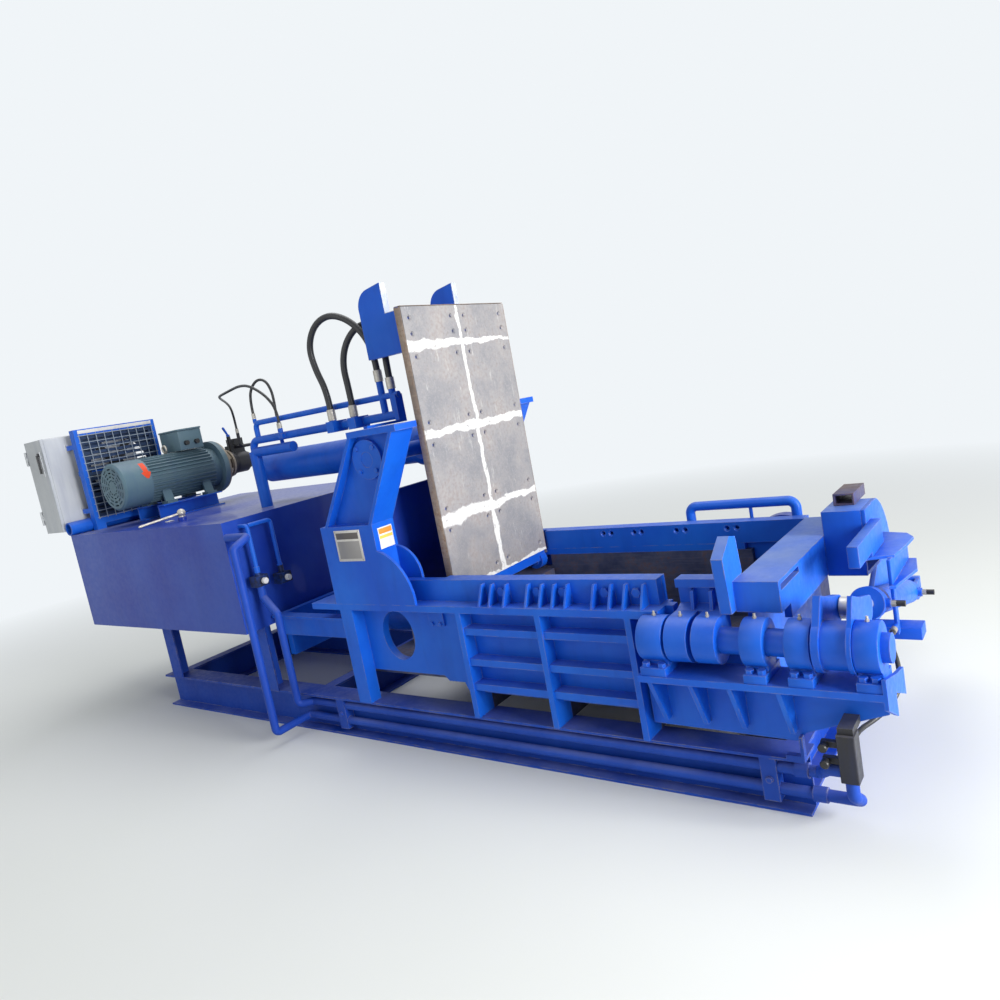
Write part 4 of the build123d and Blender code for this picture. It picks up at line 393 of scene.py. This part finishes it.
def joint_line(value, line, wide, narrow, along, span):
    """One on a joint, fading to nothing at a half width that narrows from one end of a span to the other."""
    half = ramp(tree, along, span[0], span[1], wide, narrow)
    off = times(tree, times(tree, value, line, "SUBTRACT"), shift, "ADD")
    return ramp(tree, times(tree, times(tree, off, 0.0, "ABSOLUTE"), half, "DIVIDE"), 1.0, 0.7)


height = where.outputs[2]
width = where.outputs[1]
whole_width = (centre_y - 0.3, centre_y + 0.3)
white = joint_line(width, centre_y, *upright_joint, height, (0.9, 1.9))
for row, (wide, narrow) in (joint_rows | foot_row).items():
    white = times(tree, white, joint_line(height, row / 1000, wide, narrow, width, whole_width), "MAXIMUM")
white = times(tree, white, ramp(tree, crumbs, 0.28, 0.42))
dragged = add(tree, "Mapping", [("Vector", place), ("Scale", (1.0, 7.0, 1.3))]).outputs[0]
scuffs = ramp(tree, noise(tree, dragged, 5.0, 6.0, 0.75), 0.60, 0.72, 0.0, 0.6)
white = times(tree, white, scuffs, "MAXIMUM")
tree.links.new(mixed(tree, white, plates_node.outputs["Color"], (0.72, 0.71, 0.69, 1)),
               shader.inputs["Base Color"])
tree.links.new(ramp(tree, white, 0.0, 1.0, 0.35, 0.0), shader.inputs["Metallic"])
finishes["lid_plates"] = plates
print("joints painted on", plates.name)

# %% [markdown]
# ## Two finishes on one piece
# The horns are blue all over but for the bare steel faces that strike the end beam.
# The tank's valve group has blue pipes that end in black valve bodies.
# A test on Object coordinates chooses between two colours, so the split needs no extra piece.

# %% Horns with bare faces and pipes with black valves
along_x, along_z = 0, 2
horn_face_x = 0.5285
horn_face_foot = 1.995
valve_body_top = 0.868


def split_paint(name, other, *tests):
    """The frame's blue, and another colour where every test of an axis against a limit holds."""
    material, tree, shader = finish(name)
    paint = lay_paint(tree, shader, blue, faded_blue, **frame_wear)
    place = add(tree, "TexCoord").outputs["Object"]
    where = add(tree, "SeparateXYZ", [(0, place)])
    past = 1.0
    for axis, test, limit in tests:
        past = times(tree, past, times(tree, where.outputs[axis], limit, test))
    patchy = ramp(tree, noise(tree, place, 25.0, 5.0, 0.7), 0.3, 0.6, 0.65, 1.0)
    tree.links.new(mixed(tree, times(tree, past, patchy), paint.outputs["Color"], (*other, 1)),
                   shader.inputs["Base Color"])
    finishes[name] = material


split_paint("horn_blue", (0.6, 0.63, 0.66), (along_x, "GREATER_THAN", horn_face_x),
            (along_z, "GREATER_THAN", horn_face_foot))
split_paint("valve_blue", (0.012, 0.012, 0.014), (along_z, "LESS_THAN", valve_body_top))
print("two-colour finishes made")

# %% [markdown]
# ## The arrow on the motor's cowl
# A fitter brushed an orange arrow on the fan cowl to show which way the motor must turn.
# It follows the round cowl, so its two coordinates are the angle round the motor and the place along it.
# The arrow's half width grows over its head and drops to its shank, and noise leaves it smudged.

# %% Motor paint with a turning arrow
cowl_middle = (-1.810, 1.415)
arrow_across = centre_y - 0.345
arrow_tip, arrow_tail = 0.12, 0.92
arrow_head = 0.40
arrow_half = 0.030
shank_share = 0.42
arrowed, tree, shader = finish("motor_arrow")
motor_paint = lay_paint(tree, shader, teal, faded_teal, **motor_wear)
place = add(tree, "TexCoord").outputs["Object"]
where = add(tree, "SeparateXYZ", [(0, place)])
out_x = times(tree, where.outputs[0], cowl_middle[0], "SUBTRACT")
out_z = times(tree, where.outputs[2], cowl_middle[1], "SUBTRACT")
angle = times(tree, out_z, out_x, "ARCTAN2")
aside = times(tree, times(tree, where.outputs[1], arrow_across, "SUBTRACT"), 0.0, "ABSOLUTE")
smudge = times(tree, noise(tree, place, 60.0), 0.008)
half = ramp(tree, angle, arrow_tip, arrow_head, 0.004, arrow_half)
shank = ramp(tree, angle, arrow_head - 0.02, arrow_head + 0.02, 1.0, shank_share)
half = times(tree, times(tree, half, shank), smudge, "ADD")
inside = times(tree, aside, half, "LESS_THAN")
inside = times(tree, inside, times(tree, angle, arrow_tip, "GREATER_THAN"))
inside = times(tree, inside, times(tree, angle, arrow_tail, "LESS_THAN"))
tree.links.new(mixed(tree, inside, motor_paint.outputs["Color"], (0.75, 0.07, 0.02, 1)),
               shader.inputs["Base Color"])
finishes["motor_arrow"] = arrowed
print("arrow painted", round(math.degrees(arrow_tail - arrow_tip)), "degrees round the cowl")

# %% [markdown]
# ## A finish on every CAD piece
# On the real press most pieces are frame blue, so only the others are listed, under the finish they wear.
# A table is easier to read and to change than a line of code for each piece.

# %% Put a finish on every CAD piece
pieces_in = {
    "tank_blue": ["oil_tank"],
    "skid_blue": ["skid_frame", "long_pipes", "pipe_clamps"],
    "deck_blue": ["end_beam", "rear_end_bracket"],
    "navy_and_painted_shade": ["side_ram_housing"],
    "horn_blue": ["lid_frame"],
    "valve_blue": ["tank_valves"],
    "inner_plate": ["side_liners", "chamber_floor", "main_ram", "side_ram"],
    "lid_plates": ["lid_liners"],
    "motor_arrow": ["motor_frame"],
    "motor_teal": ["terminal_box"],
    "cast_tan": ["bell_housing"],
    "black_paint": ["pump", "end_valve"],
    "core_blue": ["cooler_core"],
    "guard_grey": ["cooler_guard"],
    "cabinet_grey": ["cabinet", "cabinet_door"],
    "bright_steel": ["motor_rotor", "lid_cylinder_rod", "flap_cylinder_rod"],
    "zinc": ["tank_lever", "hose_fittings"],
    "label_white": ["tank_knob_front", "tank_knob_rear"],
    "black_plastic": ["cooler_fan", "door_handle", "end_knob_upper", "end_knob_lower"],
}
finish_of = {piece: look for look, pieces in pieces_in.items() for piece in pieces}
for name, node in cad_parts.items():
    node.data.materials.clear()
    node.data.materials.append(finishes[finish_of.get(name, "frame_blue")])
for piece in hoses.values():
    piece.data.materials.append(finishes["hose_rubber"])
print("finished pieces:", len(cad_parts))

# %% [markdown]
# ## Shaping small steel pieces
# A fitter's parts are mostly cut plate, bar and turned pins, all with their sharp corners taken off.
# Plate is drawn as a flat curve and given thickness, because a curve keeps its outline easy to change.
# Bar and pins start from a block or a cylinder whose edges are bevelled in edit mode.

# %% Helpers for plate, bar and pins
faces_along = {"x": Matrix(((0, 0, 1), (1, 0, 0), (0, 1, 0))),
               "across": Matrix(((1, 0, 0), (0, 0, -1), (0, 1, 0))),
               "up": Matrix.Identity(3)}


def finished(piece, name, look, body):
    """A piece with its place in its mesh, its finish and the body that carries it."""
    bpy.ops.object.select_all(action="DESELECT")
    piece.select_set(True)
    bpy.context.view_layer.objects.active = piece
    bpy.ops.object.transform_apply(location=True, rotation=True, scale=True)
    bpy.ops.object.shade_smooth_by_angle(angle=math.radians(35))
    piece.name = name
    piece.data.name = name
    piece.data.materials.clear()
    piece.data.materials.append(finishes[look])
    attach(piece, body)
    return piece


def bevelled(width):
    """Take the corners off everything in the active mesh."""
    bpy.ops.object.mode_set(mode="EDIT")
    bpy.ops.mesh.select_all(action="SELECT")
    bpy.ops.mesh.bevel(offset=width, segments=2, affect="EDGES")
    bpy.ops.object.mode_set(mode="OBJECT")


def bar(name, x, across, z, look, edge=1.5, body="frame"):
    """A square-edged bar between two limits each way, in millimetres."""
    bpy.ops.object.select_all(action="DESELECT")
    bpy.ops.mesh.primitive_cube_add(size=0.001, location=spot(sum(x) / 2, sum(across) / 2, sum(z) / 2))
    piece = bpy.context.object
    piece.scale = (x[1] - x[0], across[1] - across[0], z[1] - z[0])
    bpy.ops.object.transform_apply(location=False, rotation=False, scale=True)
    bevelled(edge / 1000)
    return finished(piece, name, look, body)


def pin(name, centre, radius, length, along, look, edge=1.5, body="frame", sides=32):
    """A round or many-sided pin whose middle is at a point, in millimetres."""
    bpy.ops.object.select_all(action="DESELECT")
    bpy.ops.mesh.primitive_cylinder_add(vertices=sides, radius=radius / 1000, depth=length / 1000,
                                        location=spot(*centre))
    piece = bpy.context.object
    piece.rotation_euler = {"x": (0, math.pi / 2, 0), "across": (math.pi / 2, 0, 0), "up": (0, 0, 0)}[along]
    bpy.ops.object.mode_set(mode="EDIT")
    bpy.ops.mesh.select_mode(type="FACE")
    bpy.ops.mesh.select_all(action="DESELECT")
    bpy.ops.object.mode_set(mode="OBJECT")
    for face in piece.data.polygons:
        face.select = abs(face.normal.z) > 0.9
    bpy.ops.object.mode_set(mode="EDIT")
    bpy.ops.mesh.inset(thickness=edge / 1000)
    bpy.ops.transform.resize(value=(1, 1, 1 + 2 * edge / length), center_override=tuple(piece.location))
    bpy.ops.object.mode_set(mode="OBJECT")
    return finished(piece, name, look, body)


def plate(name, outlines, facing, span, look, edge=1.0, body="frame"):
    """A plate cut to its outlines, the second one a hole, with its thickness along x, across or up."""
    near, far = sorted(span)
    shape = bpy.data.curves.new(name, "CURVE")
    shape.dimensions = "2D"
    shape.fill_mode = "BOTH"
    shape.extrude = (far - near) / 2000 - edge / 1000
    shape.bevel_depth = edge / 1000
    shape.bevel_resolution = 1
    shape.offset = -edge / 1000
    for outline in outlines:
        line = shape.splines.new("POLY")
        line.points.add(len(outline) - 1)
        for point, (first, second) in zip(line.points, outline):
            point.co = (first / 1000, second / 1000, 0, 1)
        line.use_cyclic_u = True
    piece = bpy.data.objects.new(name, shape)
    bpy.context.collection.objects.link(piece)
    middle = (near + far) / 2
    centre = {"x": spot(middle, 0, 0), "across": spot(0, middle, 0), "up": spot(0, 0, middle)}[facing]
    piece.matrix_world = Matrix.Translation(centre) @ faces_along[facing].to_4x4()
    bpy.ops.object.select_all(action="DESELECT")
    piece.select_set(True)
    bpy.context.view_layer.objects.active = piece
    bpy.ops.object.convert(target="MESH")
    piece = bpy.context.object
    bpy.ops.object.transform_apply(location=True, rotation=True, scale=True)
    bpy.ops.object.mode_set(mode="EDIT")
    bpy.ops.mesh.select_all(action="SELECT")
    bpy.ops.mesh.remove_doubles(threshold=0.00002)
    bpy.ops.mesh.normals_make_consistent(inside=False)
    bpy.ops.object.mode_set(mode="OBJECT")
    return finished(piece, name, look, body)


def arc(centre, radius, start, stop, steps=24):
    """Points round part of a circle, from one angle in degrees to another."""
    turns = [math.radians(start + (stop - start) * step / steps) for step in range(steps + 1)]
    return [(centre[0] + radius * math.cos(turn), centre[1] + radius * math.sin(turn)) for turn in turns]


def joined(pieces, name):
    """Several finished pieces made one."""
    bpy.ops.object.select_all(action="DESELECT")
    for piece in pieces:
        piece.select_set(True)
    bpy.context.view_layer.objects.active = pieces[0]
    bpy.ops.object.join()
    pieces[0].name = name
    pieces[0].data.name = name
    return pieces[0]


# %% [markdown]
# ## Bearing blocks of the flap shaft
# Each block is a thick plate with a round head and a straight foot, welded on a flat foot plate.
# The outline is one arc and four corners, so one curve per block is enough.
# They stand over the CAD blocks, which keep the bores and the collision. They take the place of
# the CAD blocks, which are hidden.

# %% Bearing blocks, foot plates and grease nipples
shaft = (-545, 613)
bearing_spans = ((1714, 1809), (2079, 2153), (2220, 2296), (2417, 2488))
deck_top = 498
foot_top = 528
head_radius = 80
foot_half = 40
neck_angle = math.degrees(math.asin(foot_half / head_radius))
block_outline = arc(shaft, head_radius, -90 + neck_angle, 270 - neck_angle, 40)
block_outline += [(shaft[0] - foot_half, foot_top - 2), (shaft[0] + foot_half, foot_top - 2)]
bore_outline = arc(shaft, 45.2, 0, 351, 39)
blocks = []
for left, right in bearing_spans:
    blocks.append(plate("bearing_head", [block_outline, bore_outline], "x", (left, right), "frame_blue", 2.5))
    blocks.append(bar("bearing_foot", (left, right), (-622, -468), (deck_top, foot_top), "frame_blue", 2))
bearing_blocks = joined(blocks, "bearing_blocks")
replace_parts(bearing_blocks, "shaft_bearings")


def nipple(name, x, body):
    """A grease nipple that stands on a bearing or knuckle."""
    top = shaft[1] + head_radius
    parts = [pin(name, (x, shaft[0], top + 3), 7, 7, "up", "zinc", 1, body, 6),
             pin(name, (x, shaft[0], top + 11), 4.5, 10, "up", "zinc", 1.2, body, 16)]
    return joined(parts, name)


for number, (left, right) in enumerate(bearing_spans):
    nipple("bearing_nipple_%d" % number, (left + right) / 2, "frame")
for number, middle in enumerate((1860, 1957)):
    nipple("knuckle_nipple_%d" % number, middle, "flap")
print("bearing blocks:", len(bearing_spans), "faces:", len(bearing_blocks.data.polygons))

# %% [markdown]
# ## Rear end bracket
# Where the end beam stops, a rounded hood carries a box strut, two wings and the arm of the flap cylinder.
# All of it is welded plate, so it is drawn plate by plate, each with its own outline and thickness.
# The whole set replaces the plainer CAD bracket and keeps its clevis in the same place.

# %% Hood and cheek
hood_front = 90
hood_top = 890
hood_centre = (210, 630)
hood_radius = 275


def hood_outline(wall, foot_front, foot_rear):
    """End view of the hood: upright front, flat top and round back, set in by a wall."""
    radius = hood_radius - wall
    top = hood_top - wall
    start = math.degrees(math.asin((top - hood_centre[1]) / radius))
    curve = arc(hood_centre, radius, 0, start, 20)
    return curve + [(hood_front + wall, top), (hood_front + wall, foot_front + wall),
                    (hood_centre[0] + radius, foot_rear + wall)]


hood_wall = 14
hood_edges = [hood_outline(wall, 640, 615) for wall in (0, hood_wall)]
bracket = [plate("hood", hood_edges, "x", (2190, 2330), "deck_blue"),
           plate("cheek", [hood_outline(0, 720, 600)], "x", (2330, 2345), "deck_blue")]
end_box = [(2215, 891), (2290, 891), (2290, 936), (2215, 936)]
end_box_room = [(2221, 897), (2284, 897), (2284, 930), (2221, 930)]
bracket.append(plate("end_box", [end_box, end_box_room], "across", (190, 390), "rusty_blue", 0.5))
strut_outline = [(-240, 765), (-40, 765), (-40, 748), (165, 748), (165, 840), (-240, 840)]
bracket.append(plate("strut", [strut_outline], "x", (2345, 2382), "deck_blue", 2))
print("bracket plates so far:", len(bracket))

# %% Wings, arm and clevis
# Outlines give (x, across) for plates that lie flat, and (across, height) for plates that face along x
wing_outline = [(2346, -47), (2445, -4), (2462, 120), (2470, 240), (2440, 300), (2346, 333)]
low_wing_outline = [(2424, -60), (2446, -50), (2485, 157), (2462, 300), (2424, 300)]
arm_outline = [(75, 400), (75, 445), (420, 640), (485, 640), (715, 450), (715, 360), (600, 355), (420, 400)]
clevis = (640, 405)
lug_radius = 38
lug_outline = arc(clevis, lug_radius, 90, 270, 20)
lug_outline += [(clevis[0] + 52, clevis[1] + side * lug_radius) for side in (-1, 1)]
lug_bore = arc(clevis, 16.1, 0, 345, 23)
bracket += [plate("wing", [wing_outline], "up", (735, 747), "deck_blue", 1.5),
            plate("low_wing", [low_wing_outline], "up", (635, 647), "deck_blue", 1.5),
            bar("wing_rib", (2424, 2436), (-47, 300), (645, 737), "deck_blue"),
            plate("arm", [arm_outline], "x", (2290, 2310), "deck_blue"),
            bar("arm_foot", (2270, 2292), (420, 484), (480, 645), "deck_blue"),
            bar("cross_bar", (2290, 2490), (75, 165), (400, 445), "frame_blue", 2),
            bar("clevis_beam", (2290, 2399), (690, 715), (360, 450), "deck_blue"),
            plate("clevis_lug", [lug_outline, lug_bore], "x", (2328, 2344), "deck_blue"),
            plate("clevis_lug", [lug_outline, lug_bore], "x", (2383, 2399), "deck_blue"),
            bar("hose_tab", (2424, 2436), (-35, 0), (460, 640), "frame_blue"),
            pin("hose_boss", (2426, -47, 490), 12, 26, "across", "frame_blue")]
rear_bracket = joined(bracket, "rear_bracket_plates")
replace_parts(rear_bracket, "rear_end_bracket")
print("rear bracket faces:", len(rear_bracket.data.polygons))

# %% [markdown]
# ## Ports of the flap cylinder
# Each end of the cylinder has a welded boss, a hexagonal adapter and a capped hose stub.
# The cylinder leans, so each place follows from a distance along its slope from the clevis.

# %% Bosses, adapters and stubs
slope = math.atan2(255, 971)
# Distance of each port from the clevis, and the x of the barrel's side there
ports = ((95, 2416), (768, 2424))
for number, (distance, reach) in enumerate(ports):
    across = clevis[0] - distance * math.cos(slope)
    height = clevis[1] + distance * math.sin(slope)
    port = [pin("port", (reach + 4, across, height), 17, 16, "x", "frame_blue", 1.5, "flap_barrel"),
            pin("port", (reach + 20, across, height), 12, 18, "x", "zinc", 1.5, "flap_barrel", 6),
            pin("port", (reach + 42, across, height), 11, 28, "x", "hose_rubber", 2, "flap_barrel")]
    joined(port, "flap_port_%d" % number)
print("ports at", round(math.degrees(slope), 1), "degrees")

# %% [markdown]
# ## Plates and motor trimmings
# A bare nameplate and a plain label sit on the front pillar; the motor has a terminal box and a lifting eye.
# Raised panels and a rivet in each corner make a bare plate look finished without any words.

# %% Nameplate, label and terminal box
nameplate = [bar("nameplate", (178, 350), (-538, -535), (914, 1062), "plate_alloy", 0.8),
             bar("nameplate", (190, 338), (-539, -537.5), (1020, 1050), "plate_dark", 0.4),
             bar("nameplate", (190, 338), (-538.6, -537.5), (926, 1010), "plate_pale", 0.4)]
nameplate += [pin("nameplate", (x, -539, z), 3, 2, "across", "zinc", 0.4, sides=12)
              for x in (186, 342) for z in (922, 1054)]
joined(nameplate, "bare_nameplate")
label = [bar("label", (437, 438), (-505, -414), (958, 1056), "label_white", 0.3),
         bar("label", (437.6, 438.4), (-501, -418), (1026, 1050), "label_orange", 0.2),
         bar("label", (437.6, 438.4), (-501, -418), (1004, 1018), "label_yellow", 0.2)]
joined(label, "plain_label")
box_foot = 1563.5
terminal = [bar("terminal", (-1921, -1699), (-60, 110), (box_foot, box_foot + 128), "motor_teal", 5),
            bar("terminal", (-1925, -1695), (-64, 114), (box_foot + 128, box_foot + 140), "motor_teal", 4)]
terminal += [pin("terminal", (-1690, across, box_foot + 45), 17, 22, "x", "black_plastic", 2, sides=6)
             for across in (-15, 60)]
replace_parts(joined(terminal, "terminal_box_cast"), "terminal_box")
bpy.ops.object.select_all(action="DESELECT")
bpy.ops.mesh.primitive_torus_add(major_radius=0.022, minor_radius=0.007, major_segments=32, minor_segments=12,
                                 location=spot(-1810, -110, 1590), rotation=(math.pi / 2, 0, 0))
finished(bpy.context.object, "lifting_eye_ring", "zinc", "frame")
print("nameplate and terminal box placed")

# %% [markdown]
# ## Lid edges, filler and the plate behind the lid
# The lined face of the lid has a rusty rim, and white filler stands in the joints between its plates.
# The joints are narrow grooves in the model, so thin strips of filler close them, in the plates' own finish.
# A plate joins the two pillars behind the lid, in deep shade, and its dark navy is painted shade; a shroud
# leads the fan's air to the cooler.

# %% Rim, filler, shroud and cross plate
lid_half = 380
rim_depth = (684, 719)
rim_sides = [(side * (lid_half + 0.3), side * (lid_half + 3)) for side in (-1, 1)]
rim = [bar("lid_rim", rim_depth, across, (690, 1988), "rim_brown", 0.8, "lid") for across in rim_sides]
rim.append(bar("lid_rim", rim_depth, (-lid_half, lid_half), (1990.3, 1993), "rim_brown", 0.8, "lid"))
joined(rim, "lid_rim")
filler = [bar("lid_filler", (711, 720.4), (-376, 376), (row - 3, row + 3), "lid_plates", 0.2, "lid")
          for row in joint_rows]
filler.append(bar("lid_filler", (711, 720.3), (-3, 3), (712, 1986), "lid_plates", 0.2, "lid"))
joined(filler, "lid_filler")
shroud_edge = [(-488, 1240), (8, 1240), (8, 1772), (-488, 1772)]
shroud_hole = arc((-240, 1535), 196, 0, 352, 45)
plate("fan_shroud", [shroud_edge, shroud_hole], "x", (-2167, -2162.5), "core_blue", 0.5)
bar("cooler_header", (-2109.8, -2106), (-490, 10), (1786, 1808), "label_white", 0.8)
bar("tank_pad", (-1400, -1356), (-455, -420), (1160.3, 1166), "label_white", 1.5)
# The cross plate's dark navy is painted shade, for the deep shade behind the lid
bar("cross_plate", (400, 425), (-394, 394), (704, 1200), "navy_and_painted_shade", 3)
print("lid rim, filler, shroud and cross plate placed")

# %% [markdown]
# ## Floor
# A plain pale floor lies under the press and melts into the backdrop a few metres out.
# Beyond that ring the camera sees a glow in the backdrop's colour, which hides the line of the horizon.

# %% Floor that melts into the backdrop
bpy.ops.object.select_all(action="DESELECT")
bpy.ops.mesh.primitive_plane_add(size=200, location=(0, 0, 0))
floor = bpy.context.object
floor.name = "studio_floor"
floor_material, floor_tree, floor_shader = finish("studio_floor")
floor_place = add(floor_tree, "TexCoord").outputs["Object"]
floor_tree.links.new(mixed(floor_tree, noise(floor_tree, floor_place, 0.6), (0.74, 0.76, 0.72, 1),
                           (0.78, 0.79, 0.77, 1)), floor_shader.inputs["Base Color"])
floor_shader.inputs["Roughness"].default_value = 0.85
room_colour = (0.93, 0.97, 1.0, 1)
room_strength = 0.94
melt_from, melt_to = 2.6, 7.5
glow = add(floor_tree, "Emission", [("Color", room_colour), ("Strength", room_strength)])
far_off = add(floor_tree, "VectorMath", [(0, floor_place)], operation="LENGTH").outputs["Value"]
eye = add(floor_tree, "LightPath")
direct = times(floor_tree, eye.outputs["Is Camera Ray"], eye.outputs["Is Glossy Ray"], "MAXIMUM")
direct = times(floor_tree, direct, eye.outputs["Is Transmission Ray"], "MAXIMUM")
melt = times(floor_tree, ramp(floor_tree, far_off, melt_from, melt_to), direct)
blend = add(floor_tree, "MixShader", [(0, melt), (1, floor_shader.outputs[0]), (2, glow.outputs[0])])
floor_tree.links.new(blend.outputs[0], floor_tree.nodes["Material Output"].inputs["Surface"])
floor.data.materials.append(floor_material)
print("floor melts between", melt_from, "and", melt_to, "metres from the middle")

# %% [markdown]
# ## Light
# Three large soft lamps stand round the press, as in a bright hall.
# The strongest stands to the right, because in the photograph the faces towards the outlet are brightest.
# The world is brighter to the camera than to the press, so the backdrop stays pale and the shadows deep.


# %% Lamps and world
def soft_lamp(name, at, aim, size, watts):
    """A square area lamp that looks at a point."""
    data = bpy.data.lights.new(name, "AREA")
    data.size = size
    data.energy = watts
    lamp = bpy.data.objects.new(name, data)
    lamp.location = at
    lamp.rotation_euler = (Vector(aim) - Vector(at)).to_track_quat("-Z", "Y").to_euler()
    bpy.context.collection.objects.link(lamp)


soft_lamp("outlet_lamp", (8.0, -1.2, 2.4), (0.5, 0, 0.9), 3.2, 800)
soft_lamp("front_lamp", (-1.5, -7.0, 3.5), (0, 0, 0.8), 4.5, 70)
soft_lamp("top_lamp", (-1.0, 1.5, 7.0), (-0.5, 0, 0), 5.0, 230)

sky_strength = 0.34
world = bpy.data.worlds.new("pale_room")
bpy.context.scene.world = world
world.use_nodes = True
sky = world.node_tree
back = sky.nodes["Background"]
ray = add(sky, "LightPath")
seen = times(sky, ray.outputs["Is Camera Ray"], ray.outputs["Is Glossy Ray"], "MAXIMUM")
seen = times(sky, seen, ray.outputs["Is Transmission Ray"], "MAXIMUM")
sky.links.new(ramp(sky, seen, 0.0, 1.0, sky_strength, room_strength), back.inputs["Strength"])
back.inputs["Color"].default_value = room_colour
bpy.context.scene.view_settings.view_transform = "Standard"
print("lamps and world set")
